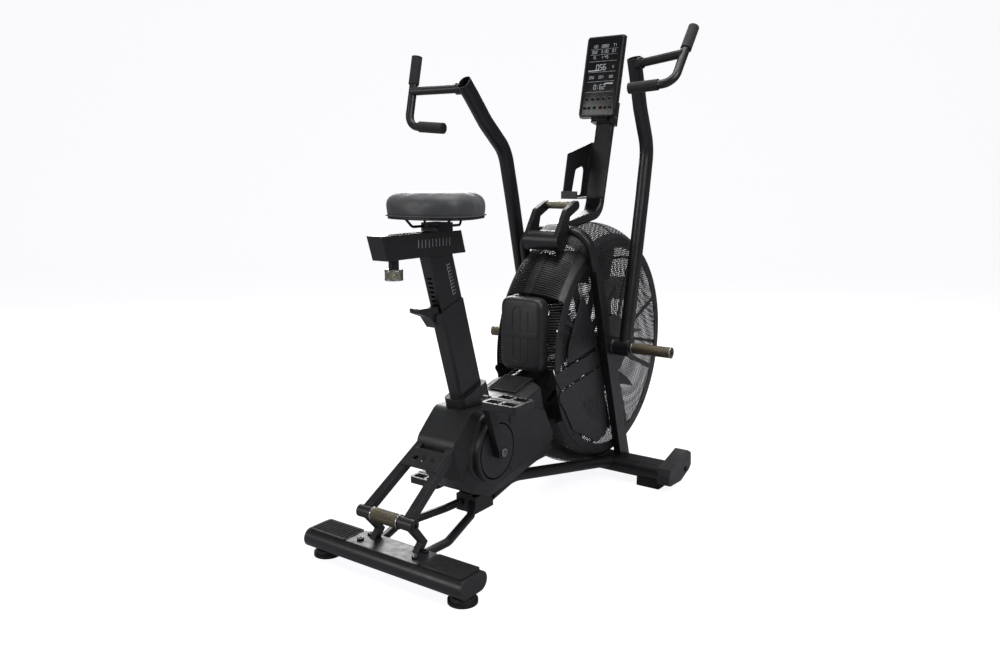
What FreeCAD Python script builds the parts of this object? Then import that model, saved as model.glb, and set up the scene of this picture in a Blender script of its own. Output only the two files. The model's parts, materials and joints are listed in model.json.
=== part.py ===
"""Air bike: a fan-resisted exercise bike with swinging arms, foot pegs and a slide-adjusted seat.

Frame: +X is the way the rider faces, +Y is the rider's left, +Z is up.  The origin is on the
floor, under the middle of the overall box.  All sizes are in millimetres.
"""
import FreeCAD
import Part
import math
import os
from FreeCAD import Vector as V

# ---------------------------------------------------------------- driving dimensions
# Layout
REAR_TO_FAN = 962.0          # rear stabiliser to fan axle, along the floor
STAB_WIDTH = 104.0           # flattened tube of both stabilisers, front to back
STAB_HEIGHT = 50.0
STAB_WALL = 2.5
REAR_STAB_LENGTH = 524.0     # over the end caps
FRONT_STAB_LENGTH = 600.0    # between the wheel housings
FOOT_HEIGHT = 26.0           # floor to the underside of both stabilisers
FRONT_STAB_BACK = 23.0       # front stabiliser's middle, ahead of the fan axle

# Fan and cage
FAN_HEIGHT = 447.0           # fan axle above the floor
FAN_RADIUS = 330.0
FAN_BLADES = 10
FAN_WIDTH = 120.0
CAGE_RADIUS = 400.0          # belly of the rim, on the middle plane
CAGE_SIDE_RADIUS = 352.0     # edge of the flat side grilles
CAGE_HALF_WIDTH = 106.0
CAGE_RIBS = 8
SHEET = 1.6                  # grille sheet

# Upright and arms
PIVOT_BACK = 48.0            # arm pivot, behind the fan axle
PIVOT_HEIGHT = 460.0
LEG_LEAN = 18.2              # degrees back from vertical
LEG_Y = 125.0                # middle of each upright leg
LEG_THICK = 24.0
ARM_Y = 178.0                # middle plane of each swinging arm
ARM_SWING = 12.5             # degrees each side of the arms' middle position
PIVOT_SHAFT_D = 20.0
RUNNING_FIT = 0.05           # radial clearance of shafts in bores
PEG_TIP_Y = 337.0
PEG_D = 34.0
GRIP_Y = 350.0               # outer grips
GRIP_D = 32.0
BAR_D = 25.0

# Crank train
BB_HEIGHT = 263.0
BB_TO_FAN = 641.0            # crank axle to fan axle, along the floor
CRANK_LENGTH = 170.0
CRANK_REST = 112.5           # degrees from +X towards +Z, right crank
CRANK_Y = 113.0              # middle of each crank arm
CRANK_THICK = 18.0
AXLE_D = 20.0
PEDAL_LENGTH = 106.0         # across the foot
PEDAL_WIDTH = 96.0           # front to back
PEDAL_THICK = 24.0

# Seat
SEAT_TUBE_LEAN = 17.5        # degrees back from vertical
SEAT_TUBE_DEPTH = 96.0
SEAT_TUBE_THICK = 44.0
SEAT_TUBE_TOP = 668.0
SEAT_WALL = 3.0
POST_GAP = 0.4               # post to tube, all round
SLIDER_TOP = 859.0
SLIDER_HEIGHT = 59.0
SLIDER_LENGTH = 289.0
SLIDER_WIDTH = 48.0
CUSHION_LENGTH = 250.0
CUSHION_WIDTH = 256.0
CUSHION_THICK = 72.0
CUSHION_BASE = 890.0

# Body
BODY_HALF_WIDTH = 86.0
BODY_WALL = 3.0
DISC_RADIUS = 88.0

# Console
CONSOLE_WIDTH = 132.0
CONSOLE_HEIGHT = 262.0
CONSOLE_DEPTH = 26.0
MAST_WIDTH = 60.0
MAST_DEPTH = 28.0

# ---------------------------------------------------------------- places worked out
HALF_LENGTH = (REAR_TO_FAN + CAGE_RADIUS + STAB_WIDTH / 2) / 2
REAR_X = -HALF_LENGTH + STAB_WIDTH / 2
FAN_X = HALF_LENGTH - CAGE_RADIUS
PIVOT_X = FAN_X - PIVOT_BACK
BB_X = FAN_X - BB_TO_FAN
FRONT_X = FAN_X + FRONT_STAB_BACK
STAB_TOP = FOOT_HEIGHT + STAB_HEIGHT
LEAN = math.radians(SEAT_TUBE_LEAN)
SEAT_FOOT = V(BB_X - 6, 0, BB_HEIGHT + 154)           # a point on the seat tube's middle line


def seat_line(z, along=0.0):
    """Point on the seat tube's middle line at height z, moved along across the tube."""
    x = SEAT_FOOT.x - (z - SEAT_FOOT.z) * math.tan(LEAN)
    return V(x + along * math.cos(LEAN), 0, z + along * math.sin(LEAN))


# ---------------------------------------------------------------- shape helpers
def box(x0, x1, y0, y1, z0, z1):
    """Box between two corners."""
    return Part.makeBox(x1 - x0, y1 - y0, z1 - z0, V(x0, y0, z0))


def rod(a, b, d, bore=0.0):
    """Round bar from a to b, with an optional bore."""
    axis = b - a
    solid = Part.makeCylinder(d / 2, axis.Length, a, axis)
    if bore:
        solid = solid.cut(Part.makeCylinder(bore / 2, axis.Length + 2, a - axis * (1 / axis.Length), axis))
    return solid


def rod_y(x, z, y0, y1, d, bore=0.0):
    """Round bar along Y."""
    return rod(V(x, y0, z), V(x, y1, z), d, bore)


def plate(points, y0, y1):
    """Flat outline of (x, z) points, given thickness from y0 to y1."""
    wire = Part.makePolygon([V(x, y0, z) for x, z in points] + [V(points[0][0], y0, points[0][1])])
    return Part.Face(wire).extrude(V(0, y1 - y0, 0))


def round_wire(points, radius):
    """Closed flat wire through (x, z) points at y = 0, with its corners rounded."""
    edges, n = [], len(points)
    corners = []
    for i, point in enumerate(points):
        here = V(point[0], 0, point[1])
        before = V(points[i - 1][0], 0, points[i - 1][1]) - here
        after = V(points[(i + 1) % n][0], 0, points[(i + 1) % n][1]) - here
        corners.append(bend(here, before, after, radius))
    for i, (start, middle, end) in enumerate(corners):
        edges.append(Part.Arc(start, middle, end).toShape())
        edges.append(Part.LineSegment(end, corners[(i + 1) % n][0]).toShape())
    return Part.Wire(edges)


def bend(corner, before, after, radius):
    """Start, middle and end of the arc that rounds a corner between two directions."""
    u, w = V(before).normalize(), V(after).normalize()
    half = u.getAngle(w) / 2
    reach = min(radius / math.tan(half), before.Length * 0.45, after.Length * 0.45)
    r = reach * math.tan(half)
    middle_way = V(u + w).normalize()
    centre = corner + middle_way * (r / math.sin(half))
    return corner + u * reach, centre - middle_way * r, corner + w * reach


def round_plate(points, y0, y1, radius):
    """Flat outline with rounded corners, given thickness from y0 to y1."""
    face = Part.Face(round_wire(points, radius))
    face.translate(V(0, y0, 0))
    return face.extrude(V(0, y1 - y0, 0))


def path(points, radius):
    """Open wire of straight runs joined by tangent arcs."""
    edges, last = [], points[0]
    for i in range(1, len(points) - 1):
        start, middle, end = bend(points[i], points[i - 1] - points[i], points[i + 1] - points[i], radius)
        edges.append(Part.LineSegment(last, start).toShape())
        edges.append(Part.Arc(start, middle, end).toShape())
        last = end
    edges.append(Part.LineSegment(last, points[-1]).toShape())
    return Part.Wire(edges)


def oval(width, height):
    """Flattened round outline in the XY plane, width along X, with round ends."""
    r = min(width, height) / 2
    if abs(width - height) < 1e-6:
        return Part.Wire(Part.Circle(V(0, 0, 0), V(0, 0, 1), r).toShape())
    s = (max(width, height) - 2 * r) / 2
    a, b = (V(1, 0, 0), V(0, 1, 0)) if width > height else (V(0, 1, 0), V(-1, 0, 0))
    p = [a * s + b * r, a * -s + b * r, a * -s - b * r, a * s - b * r]
    return Part.Wire([Part.LineSegment(p[0], p[1]).toShape(),
                      Part.Arc(p[1], a * -(s + r), p[2]).toShape(),
                      Part.LineSegment(p[2], p[3]).toShape(),
                      Part.Arc(p[3], a * (s + r), p[0]).toShape()])


def place(shape, origin, x_axis, z_axis):
    """Copy of a shape made in the XY plane, with its X and Z turned to the given axes."""
    x, z = V(x_axis).normalize(), V(z_axis).normalize()
    y = z.cross(x)
    m = FreeCAD.Matrix(x.x, y.x, z.x, origin.x, x.y, y.y, z.y, origin.y, x.z, y.z, z.z, origin.z, 0, 0, 0, 1)
    moved = shape.copy()
    moved.transformShape(m)
    return moved


def sweep(points, radius, outline, x_axis):
    """Solid swept from an XY outline along a bent path; x_axis is where its X points at the start."""
    spine = path(points, radius)
    start = place(outline, points[0], x_axis, points[1] - points[0])
    return Part.Wire(spine.Edges).makePipeShell([start], True, False)


def tube(points, radius, width, height, wall, x_axis):
    """Bent tube of a flattened round section, with a wall."""
    outer = sweep(points, radius, oval(width, height), x_axis)
    inner = sweep(points, radius, oval(width - 2 * wall, height - 2 * wall), x_axis)
    return outer.cut(inner)


def mirror(shape):
    """The same piece on the other side of the middle plane."""
    return shape.mirror(V(0, 0, 0), V(0, 1, 0))


def turn_y(shape, x, z, degrees):
    """Turn a shape about a line along Y through (x, z); positive takes +Z towards +X."""
    turned = shape.copy()
    turned.rotate(V(x, 0, z), V(0, 1, 0), degrees)
    return turned


def bored(shape, *holes):
    """Cut holes out of a shape."""
    for hole in holes:
        shape = shape.cut(hole)
    return shape


def fuse(*shapes):
    """Join pieces of one part into one solid."""
    solid = shapes[0].fuse(list(shapes[1:])) if len(shapes) > 1 else shapes[0]
    return solid.removeSplitter()


def both(shape):
    """A piece and its mirror image, as two separate solids."""
    return Part.Compound([shape, mirror(shape)])


def rounded_box(x0, x1, y0, y1, z0, z1, r, along="z"):
    """Box with four edges rounded, those along the named axis."""
    solid = box(x0, x1, y0, y1, z0, z1)
    axis = {"x": V(1, 0, 0), "y": V(0, 1, 0), "z": V(0, 0, 1)}[along]
    chosen = [e for e in solid.Edges if abs(abs(e.tangentAt(e.FirstParameter).dot(axis)) - 1) < 1e-6]
    return solid.makeFillet(r, chosen)


parts = {}

# ---------------------------------------------------------------- rear base
def stabiliser_outline(x, half_length, width, height):
    """Solid flattened bar along Y, standing on the feet."""
    middle = FOOT_HEIGHT + STAB_HEIGHT / 2
    end = place(oval(width, height), V(x, -half_length, middle), V(1, 0, 0), V(0, 1, 0))
    return Part.Face(end).extrude(V(0, 2 * half_length, 0))


def stabiliser(x, half_length):
    """Hollow flattened tube of a stabiliser."""
    outer = stabiliser_outline(x, half_length, STAB_WIDTH, STAB_HEIGHT)
    inner = stabiliser_outline(x, half_length + 1, STAB_WIDTH - 2 * STAB_WALL, STAB_HEIGHT - 2 * STAB_WALL)
    return outer.cut(inner)


CAP_THICK = 6.0
REAR_HALF = REAR_STAB_LENGTH / 2 - CAP_THICK
rear_solid = stabiliser_outline(REAR_X, REAR_HALF, STAB_WIDTH, STAB_HEIGHT)
FOOT_Y = REAR_STAB_LENGTH / 2 - 34
FOOT_STEM_D = 12.0
FOOT_DISC_D = 74.0
rear_tube = stabiliser(REAR_X, REAR_HALF)
STEM_TOP = FOOT_HEIGHT + STAB_WALL + 14
foot_holes = [rod(V(REAR_X, s * FOOT_Y, 0), V(REAR_X, s * FOOT_Y, STEM_TOP), FOOT_STEM_D + 2 * RUNNING_FIT)
              for s in (-1, 1)]
PLATE_BOLT_Y = 92.0
PLATE_BOLT_D = 10.0
plate_bolt_holes = [rod(V(REAR_X + s * 26, t * PLATE_BOLT_Y, STAB_TOP - 10),
                        V(REAR_X + s * 26, t * PLATE_BOLT_Y, STAB_TOP + 10), PLATE_BOLT_D)
                    for s in (-0.5, 1) for t in (-1, 1)]
parts["rear_stabiliser_tube"] = bored(rear_tube, *foot_holes, *plate_bolt_holes)

cap_plate = stabiliser_outline(REAR_X, CAP_THICK / 2, STAB_WIDTH, STAB_HEIGHT)
cap_plate.translate(V(0, REAR_HALF + CAP_THICK / 2, 0))

PAD_WIDTH, PAD_THICK, PLATE_THICK = 76.0, 4.0, 3.0
PAD_Y0, PAD_Y1 = 124.0, 254.0


def saddle(half_width, y0, y1, thick, corner):
    """Pad that wraps over the top of the rear stabiliser."""
    block = rounded_box(REAR_X - half_width, REAR_X + half_width, y0, y1,
                        STAB_TOP - 9, STAB_TOP + thick, corner)
    return block.cut(rear_solid)


foot_pad = saddle(PAD_WIDTH / 2, PAD_Y0, PAD_Y1, PAD_THICK, 8)
PLATE_TOP = STAB_TOP + PLATE_THICK
mount_plate = saddle(PAD_WIDTH / 2, -PAD_Y0 + 3, PAD_Y0 - 3, PLATE_THICK, 3)
parts["rear_mount_plate"] = bored(mount_plate, *plate_bolt_holes)


def bolt_down(x, y, z, head_d, head_h, shank_d, shank):
    """Button-head bolt standing on a surface at height z, with a hexagon socket."""
    head = Part.makeCylinder(head_d / 2, head_h, V(x, y, z))
    head = head.makeFillet(head_h * 0.45, [e for e in head.Edges if e.BoundBox.ZMin > z + head_h - 0.01])
    socket = Part.makeCylinder(head_d * 0.2, head_h, V(x, y, z + head_h * 0.4))
    return fuse(head.cut(socket), Part.makeCylinder(shank_d / 2, shank, V(x, y, z - shank)))


plate_bolts = [bolt_down(REAR_X + s * 26, t * PLATE_BOLT_Y, PLATE_TOP, 18, 6, PLATE_BOLT_D, 9)
               for s in (-0.5, 1) for t in (-1, 1)]

for side, s in (("right", -1), ("left", 1)):
    wide = Part.makeCylinder(FOOT_DISC_D / 2, 9, V(REAR_X, s * FOOT_Y, 0))
    narrow = Part.makeCone(FOOT_DISC_D / 2 - 5, FOOT_DISC_D / 2 - 9, 8, V(REAR_X, s * FOOT_Y, 9))
    stem = Part.makeCylinder(FOOT_STEM_D / 2, STEM_TOP - 18, V(REAR_X, s * FOOT_Y, 17))
    parts["levelling_foot_" + side] = fuse(wide, narrow, stem)

BAR_X, BAR_Z = REAR_X - 11, 160.0
LIFT_BAR_D, LIFT_BAR_HALF, SLEEVE_HALF = 32.0, 91.0, 45.0
lift_bar = rod_y(BAR_X, BAR_Z, -LIFT_BAR_HALF, LIFT_BAR_HALF, LIFT_BAR_D, 24)
lift_plug = rod_y(BAR_X, BAR_Z, LIFT_BAR_HALF - 8, LIFT_BAR_HALF + 2, 24).cut(
    rod_y(BAR_X, BAR_Z, LIFT_BAR_HALF - 4, LIFT_BAR_HALF + 3, 12))
parts["lift_crossbar"] = lift_bar
parts["end_caps"] = Part.Compound([cap_plate, mirror(cap_plate), lift_plug, mirror(lift_plug)])
parts["lift_grip_sleeve"] = rod_y(BAR_X, BAR_Z, -SLEEVE_HALF, SLEEVE_HALF, LIFT_BAR_D + 4, LIFT_BAR_D)

RISER_Y0, RISER_Y1 = 63.0, 81.0
knee = V(REAR_X + 38, 0, 100)
riser = plate([(BAR_X - 9, BAR_Z - 6), (knee.x - 11, knee.z), (REAR_X + 8, PLATE_TOP),
               (REAR_X + 32, PLATE_TOP), (knee.x + 11, knee.z - 2), (BAR_X + 12, BAR_Z)], RISER_Y0, RISER_Y1)
lift_solid = rod_y(BAR_X, BAR_Z, -LIFT_BAR_HALF, LIFT_BAR_HALF, LIFT_BAR_D)
riser = riser.cut(lift_solid)

# ---------------------------------------------------------------- main frame
RAIL = 22.0
RAIL_WALL = 2.0
RAIL_REAR_Y, RAIL_FRONT_Y = 68.0, 51.0     # the rails draw together towards the body
YOKE_X = BB_X - 134
rail_start = V(BAR_X, RAIL_REAR_Y, BAR_Z + 4)
rail_way = V(YOKE_X, RAIL_FRONT_Y, BB_HEIGHT + 27) - rail_start
RAIL_LENGTH = rail_way.Length
rail_dir = V(rail_way).normalize()
RAIL_ANGLE = math.atan2(rail_way.z, rail_way.x)


def square_tube(start, direction, length, size, wall):
    """Straight square tube."""
    def bar(width, extra):
        face = Part.Face(Part.makePolygon([V(-width / 2, -width / 2, 0), V(width / 2, -width / 2, 0),
                                           V(width / 2, width / 2, 0), V(-width / 2, width / 2, 0),
                                           V(-width / 2, -width / 2, 0)]))
        solid = face.extrude(V(0, 0, length + 2 * extra))
        across = V(0, 1, 0) - direction * direction.y
        return place(solid, start - direction * extra, across, direction)
    return bar(size, 0).cut(bar(size - 2 * wall, 1))


rail = square_tube(rail_start, rail_dir, RAIL_LENGTH, RAIL, RAIL_WALL).cut(lift_solid).cut(
    box(YOKE_X, YOKE_X + 60, 0, 200, 200, 500)).cut(riser)
rail = rail.Solids[0] if len(rail.Solids) == 1 else max(rail.Solids, key=lambda solid: solid.Volume)
GUSSET_LOW, GUSSET_HIGH, GUSSET_THICK = 150.0, 212.0, 3.0


def along_rail(distance, lift=0.0):
    """(x, z) of a point on the rails' middle line, raised square to it."""
    run, rise = math.cos(RAIL_ANGLE), math.sin(RAIL_ANGLE)
    return BAR_X + distance * run - lift * rise, BAR_Z + 4 + distance * rise + lift * run


GUSSET_TOP = RAIL / 2 + GUSSET_THICK
gusset = plate([along_rail(GUSSET_LOW, RAIL / 2), along_rail(GUSSET_HIGH, RAIL / 2),
                along_rail(GUSSET_HIGH, GUSSET_TOP), along_rail(GUSSET_LOW, GUSSET_TOP)],
               -RAIL_FRONT_Y - 9, RAIL_FRONT_Y + 9)
hole_x, hole_z = along_rail(GUSSET_LOW + 30)
hole_at = V(hole_x, 0, hole_z)
cut_axis = V(-math.sin(RAIL_ANGLE), 0, math.cos(RAIL_ANGLE))
gusset_holes = [rod(hole_at + V(0, y, 0), hole_at + V(0, y, 0) + cut_axis * 24, 16) for y in (-28, 0, 28)]
gusset = bored(gusset, rail, mirror(rail), *gusset_holes)
gusset = max(gusset.Solids, key=lambda solid: solid.Volume)
parts["rear_ladder"] = Part.Compound([rail, mirror(rail), riser, mirror(riser), gusset])

# The spine joins the rails, seat tube, crank tube and lower rails.
SPINE_HALF, SPINE_WALL = 22.0, 3.0
BB_TUBE_D, BB_BORE_D, BB_TUBE_HALF = 52.0, 42.0, 46.0
HEAD_X0, HEAD_X1, HEAD_Z0, HEAD_Z1 = BB_X - 10, BB_X + 74, 68.0, 116.0
seat_low_z = BB_HEIGHT + 80
back_low = seat_line(seat_low_z, -SEAT_TUBE_DEPTH / 2)
front_low = seat_line(seat_low_z, SEAT_TUBE_DEPTH / 2)
spine_outline = [(HEAD_X0, HEAD_Z1), (BB_X - 32, BB_HEIGHT - 20), (YOKE_X + 6, BB_HEIGHT + 10),
                 (YOKE_X + 6, BB_HEIGHT + 46), (back_low.x, back_low.z), (front_low.x, front_low.z),
                 (BB_X + 62, BB_HEIGHT - 10), (HEAD_X1, HEAD_Z1)]
spine = plate(spine_outline, -SPINE_HALF, SPINE_HALF)
spine_core = plate(spine_outline, -SPINE_HALF + SPINE_WALL, SPINE_HALF - SPINE_WALL)
spine = spine.cut(spine_core.common(box(BB_X - 90, BB_X + 60, -SPINE_HALF, SPINE_HALF,
                                        HEAD_Z1 + 6, seat_low_z - 20)))
bb_outer = rod_y(BB_X, BB_HEIGHT, -BB_TUBE_HALF, BB_TUBE_HALF, BB_TUBE_D)
yoke = box(YOKE_X, YOKE_X + 22, -RAIL_FRONT_Y - 13, RAIL_FRONT_Y + 13, BB_HEIGHT + 10, BB_HEIGHT + 44)
head = box(HEAD_X0, HEAD_X1, -34, 34, HEAD_Z0, HEAD_Z1)
head_tube = head.cut(box(HEAD_X0 + 4, HEAD_X1 - 4, -30, 30, HEAD_Z0 + 4, HEAD_Z1 - 4))
JACK_X, JACK_Z, JACK_D = BB_X + 196, BB_HEIGHT + 34, 15.0
carrier = plate([(BB_X + 30, BB_HEIGHT - 26), (BB_X + 30, BB_HEIGHT + 34), (JACK_X, JACK_Z + 16),
                 (JACK_X, JACK_Z - 16)], -9, 9)
carrier = carrier.fuse(rod_y(JACK_X, JACK_Z, -18, 44, 34))
spine = fuse(spine, yoke, carrier, bb_outer).cut(
    rod_y(BB_X, BB_HEIGHT, -BB_TUBE_HALF - 1, BB_TUBE_HALF + 1, BB_BORE_D))
spine = spine.cut(rod_y(JACK_X, JACK_Z, -30, 60, JACK_D + 2 * RUNNING_FIT))
parts["frame_spine"] = Part.Compound([spine, head_tube])

WISHBONE_D, WISHBONE_WALL = 24.0, 2.0
wish = tube([V(HEAD_X0 + 0.5, 18, HEAD_Z0 + 26), V(HEAD_X0 - 34, 44, HEAD_Z0 + 12), V(REAR_X + 120, 88, 71),
             V(REAR_X + 40, 72, 63)], 34, WISHBONE_D, WISHBONE_D, WISHBONE_WALL, V(0, 0, 1))
wish = bored(wish, head, rear_solid, parts["rear_mount_plate"], riser)
parts["wishbone_tubes"] = both(max(wish.Solids, key=lambda solid: solid.Volume))

front_solid = stabiliser_outline(FRONT_X, FRONT_STAB_LENGTH / 2, STAB_WIDTH, STAB_HEIGHT)
LOWER_RAIL_Y = 116.0
lower = tube([V(HEAD_X1 - 0.5, 20.5, HEAD_Z0 + 28), V(HEAD_X1 + 110, 20.5, HEAD_Z0 + 52),
              V(FRONT_X - 44, LOWER_RAIL_Y, 62)], 160, 40, 32, 2, V(0, 1, 0))
lower = lower.cut(head).cut(front_solid)
parts["lower_rails"] = both(max(lower.Solids, key=lambda solid: solid.Volume))

parts["front_stabiliser_tube"] = stabiliser(FRONT_X, FRONT_STAB_LENGTH / 2)

# ---------------------------------------------------------------- front wheels and feet
HOUSING_Y0 = FRONT_STAB_LENGTH / 2
HOUSING_THICK = 42.0
WHEEL_D, WHEEL_WIDTH, WHEEL_BOLT_D = 66.0, 24.0, 10.0
WHEEL_X, WHEEL_Z = FRONT_X + 66, 48.0
housing_outline = [(FRONT_X - 62, 24), (FRONT_X - 66, 56), (FRONT_X - 52, 80), (FRONT_X + 72, 112),
                   (FRONT_X + 104, 96), (FRONT_X + 108, 52), (FRONT_X + 92, 40), (FRONT_X + 30, 19)]
housing = round_plate(housing_outline, HOUSING_Y0, HOUSING_Y0 + HOUSING_THICK, 12)
wheel_y = HOUSING_Y0 + HOUSING_THICK / 2
pocket_half = WHEEL_WIDTH / 2 + 2
wheel_pocket = rod_y(WHEEL_X, WHEEL_Z, wheel_y - pocket_half, wheel_y + pocket_half, WHEEL_D + 8)
pocket_mouth = box(WHEEL_X - WHEEL_D / 2 - 4, WHEEL_X + WHEEL_D / 2 + 4, wheel_y - WHEEL_WIDTH / 2 - 2,
                   wheel_y + WHEEL_WIDTH / 2 + 2, 0, WHEEL_Z)
wheel_hole = rod_y(WHEEL_X, WHEEL_Z, HOUSING_Y0 - 2, HOUSING_Y0 + HOUSING_THICK + 2, WHEEL_BOLT_D)
housing = bored(housing, wheel_pocket, pocket_mouth, wheel_hole)
parts["wheel_housings"] = both(max(housing.Solids, key=lambda solid: solid.Volume))
wheel = fuse(rod_y(WHEEL_X, WHEEL_Z, wheel_y - WHEEL_WIDTH / 2, wheel_y + WHEEL_WIDTH / 2, WHEEL_D))
wheel = wheel.makeFillet(4, [e for e in wheel.Edges if e.Length > WHEEL_D * 3])
groove = rod_y(WHEEL_X, WHEEL_Z, wheel_y + WHEEL_WIDTH / 2 - 4, wheel_y + WHEEL_WIDTH / 2 + 1, WHEEL_D - 18,
               24)
wheel = bored(wheel, groove, rod_y(WHEEL_X, WHEEL_Z, HOUSING_Y0, HOUSING_Y0 + HOUSING_THICK,
                                   WHEEL_BOLT_D + 2 * RUNNING_FIT))
parts["transport_wheel_left"] = wheel
parts["transport_wheel_right"] = mirror(wheel)
wheel_bolt = fuse(rod_y(WHEEL_X, WHEEL_Z, HOUSING_Y0, HOUSING_Y0 + HOUSING_THICK + 1, WHEEL_BOLT_D),
                  rod_y(WHEEL_X, WHEEL_Z, HOUSING_Y0 + HOUSING_THICK, HOUSING_Y0 + HOUSING_THICK + 4, 17))
wheel_bolt = wheel_bolt.cut(rod_y(WHEEL_X, WHEEL_Z, HOUSING_Y0 + HOUSING_THICK + 1,
                                  HOUSING_Y0 + HOUSING_THICK + 5, 8))
parts["frame_bolts"] = Part.Compound([*plate_bolts, wheel_bolt, mirror(wheel_bolt)])
front_foot = rounded_box(FRONT_X - 42, FRONT_X + 8, 216, 297, 0, FOOT_HEIGHT + 14, 6).cut(front_solid)
parts["rubber_feet"] = Part.Compound([foot_pad, mirror(foot_pad), front_foot, mirror(front_foot)])

# ---------------------------------------------------------------- upright
lean = math.radians(LEG_LEAN)
LEG_TOP_Z = 770.0
LEG_X0 = PIVOT_X - 26 + (PIVOT_HEIGHT - STAB_TOP) * math.tan(lean)


def leg_line(z, along=0.0):
    """(x, z) on the upright legs' middle line, moved along across the leg."""
    return LEG_X0 - (z - STAB_TOP) * math.tan(lean) + along, z


leg = plate([leg_line(STAB_TOP - 20, -30), leg_line(STAB_TOP - 20, 30), leg_line(PIVOT_HEIGHT, 24),
             leg_line(LEG_TOP_Z - 60, 18), leg_line(LEG_TOP_Z - 60, -18), leg_line(PIVOT_HEIGHT, -24)],
            LEG_Y - LEG_THICK / 2, LEG_Y + LEG_THICK / 2).cut(front_solid)
leg_core = plate([leg_line(STAB_TOP + 12, -26), leg_line(STAB_TOP + 12, 26), leg_line(PIVOT_HEIGHT - 44, 20),
                  leg_line(PIVOT_HEIGHT - 44, -20)],
                 LEG_Y - LEG_THICK / 2 + 2.5, LEG_Y + LEG_THICK / 2 - 2.5)
BOSS_D, BOSS_BORE = 60.0, 40.0
BOSS_OUT = 142.0
boss = rod_y(PIVOT_X, PIVOT_HEIGHT, LEG_Y - LEG_THICK / 2, BOSS_OUT, BOSS_D, PIVOT_SHAFT_D)
boss_solid = rod_y(PIVOT_X, PIVOT_HEIGHT, 0, 200, BOSS_D)
parts["upright_legs"] = both(leg.cut(leg_core).cut(boss_solid))
parts["pivot_bosses"] = both(boss)

arch_dir = V(-math.sin(lean), 0, math.cos(lean))
arch_foot = V(leg_line(LEG_TOP_Z - 60)[0], LEG_Y, LEG_TOP_Z - 60)
ARCH_RISE = 128.0
arch_top = arch_foot + arch_dir * ARCH_RISE
arch_root = arch_foot - arch_dir * 10
arch = tube([arch_root, V(arch_top.x, LEG_Y - 8, arch_top.z), V(arch_top.x, -LEG_Y + 8, arch_top.z),
             V(arch_root.x, -LEG_Y, arch_root.z)], 70, 36, LEG_THICK, 2.5, V(1, 0, 0.3))
parts["upright_arch"] = arch.cut(box(arch_root.x - 100, arch_root.x + 100, -300, 300, 600, arch_foot.z))

# Pivot shafts carry the arms and the foot pegs.
PEG_INNER_Y = 200.0
shaft = rod_y(PIVOT_X, PIVOT_HEIGHT, LEG_Y - LEG_THICK / 2, PEG_TIP_Y - 12, PIVOT_SHAFT_D)
parts["pivot_shafts"] = both(shaft)
HUB_Y0, HUB_Y1 = BOSS_OUT + 5.4, PEG_INNER_Y - 0.6
parts["pivot_rings"] = both(rod_y(PIVOT_X, PIVOT_HEIGHT, BOSS_OUT, HUB_Y0 - 0.4, BOSS_D - 8, PIVOT_SHAFT_D))
peg = rod_y(PIVOT_X, PIVOT_HEIGHT, PEG_INNER_Y, PEG_TIP_Y, PEG_D, PIVOT_SHAFT_D)
peg = peg.fuse(rod_y(PIVOT_X, PIVOT_HEIGHT, PEG_TIP_Y - 12, PEG_TIP_Y, PEG_D)).removeSplitter()
peg = peg.cut(rod_y(PIVOT_X, PIVOT_HEIGHT, PEG_TIP_Y - 4, PEG_TIP_Y + 1, 12))
peg = peg.makeFillet(2.5, [e for e in peg.Edges if abs(e.Length - math.pi * PEG_D) < 1 and
                           e.BoundBox.YMin > PEG_TIP_Y - 1])
parts["foot_pegs"] = both(peg)

# ---------------------------------------------------------------- fan
AXLE_FAN_D = 17.0
AXLE_HALF = LEG_Y - LEG_THICK / 2 - 0.5
parts["fan_axle"] = rod_y(FAN_X, FAN_HEIGHT, -AXLE_HALF, AXLE_HALF, AXLE_FAN_D)
BRACKET_THICK = 5.0
bracket = round_plate([(PIVOT_X - 24, PIVOT_HEIGHT + 40), (FAN_X + 16, FAN_HEIGHT + 20),
                       (FAN_X + 20, FAN_HEIGHT - 14), (FAN_X - 6, FAN_HEIGHT - 26),
                       (PIVOT_X - 10, PIVOT_HEIGHT - 46)],
                      AXLE_HALF - BRACKET_THICK, AXLE_HALF, 10)
bracket = bored(bracket, rod_y(FAN_X, FAN_HEIGHT, 0, 200, AXLE_FAN_D))
parts["axle_brackets"] = both(bracket)

HUB_D, BEARING_D, BEARING_W = 84.0, 40.0, 12.0
FAN_HALF = FAN_WIDTH / 2
hub = rod_y(FAN_X, FAN_HEIGHT, -FAN_HALF - 6, FAN_HALF + 6, HUB_D, AXLE_FAN_D + 6)
hub = bored(hub, *[rod_y(FAN_X, FAN_HEIGHT, a, b, BEARING_D)
                   for a, b in ((-FAN_HALF - 7, -FAN_HALF - 6 + BEARING_W),
                                (FAN_HALF + 6 - BEARING_W, FAN_HALF + 7))])
fan_bearing = rod_y(FAN_X, FAN_HEIGHT, FAN_HALF + 6 - BEARING_W, FAN_HALF + 6,
                    BEARING_D, AXLE_FAN_D + 2 * RUNNING_FIT)
parts["fan_hub"] = Part.Compound([hub, fan_bearing, mirror(fan_bearing)])
ARM_WIDTH = 30.0


def fan_blade(turn):
    """One spoke with its curved paddle, turned round the fan axle."""
    spoke = box(HUB_D / 2 - 3, FAN_RADIUS - 60, -2, 2, -ARM_WIDTH / 2, ARM_WIDTH / 2)
    paddle = box(FAN_RADIUS - 110, FAN_RADIUS, -FAN_HALF + 6, FAN_HALF - 6, -1.5, 1.5)
    solid = spoke.fuse(paddle).removeSplitter()
    solid.translate(V(FAN_X, 0, FAN_HEIGHT))
    return turn_y(solid, FAN_X, FAN_HEIGHT, turn)


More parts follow.
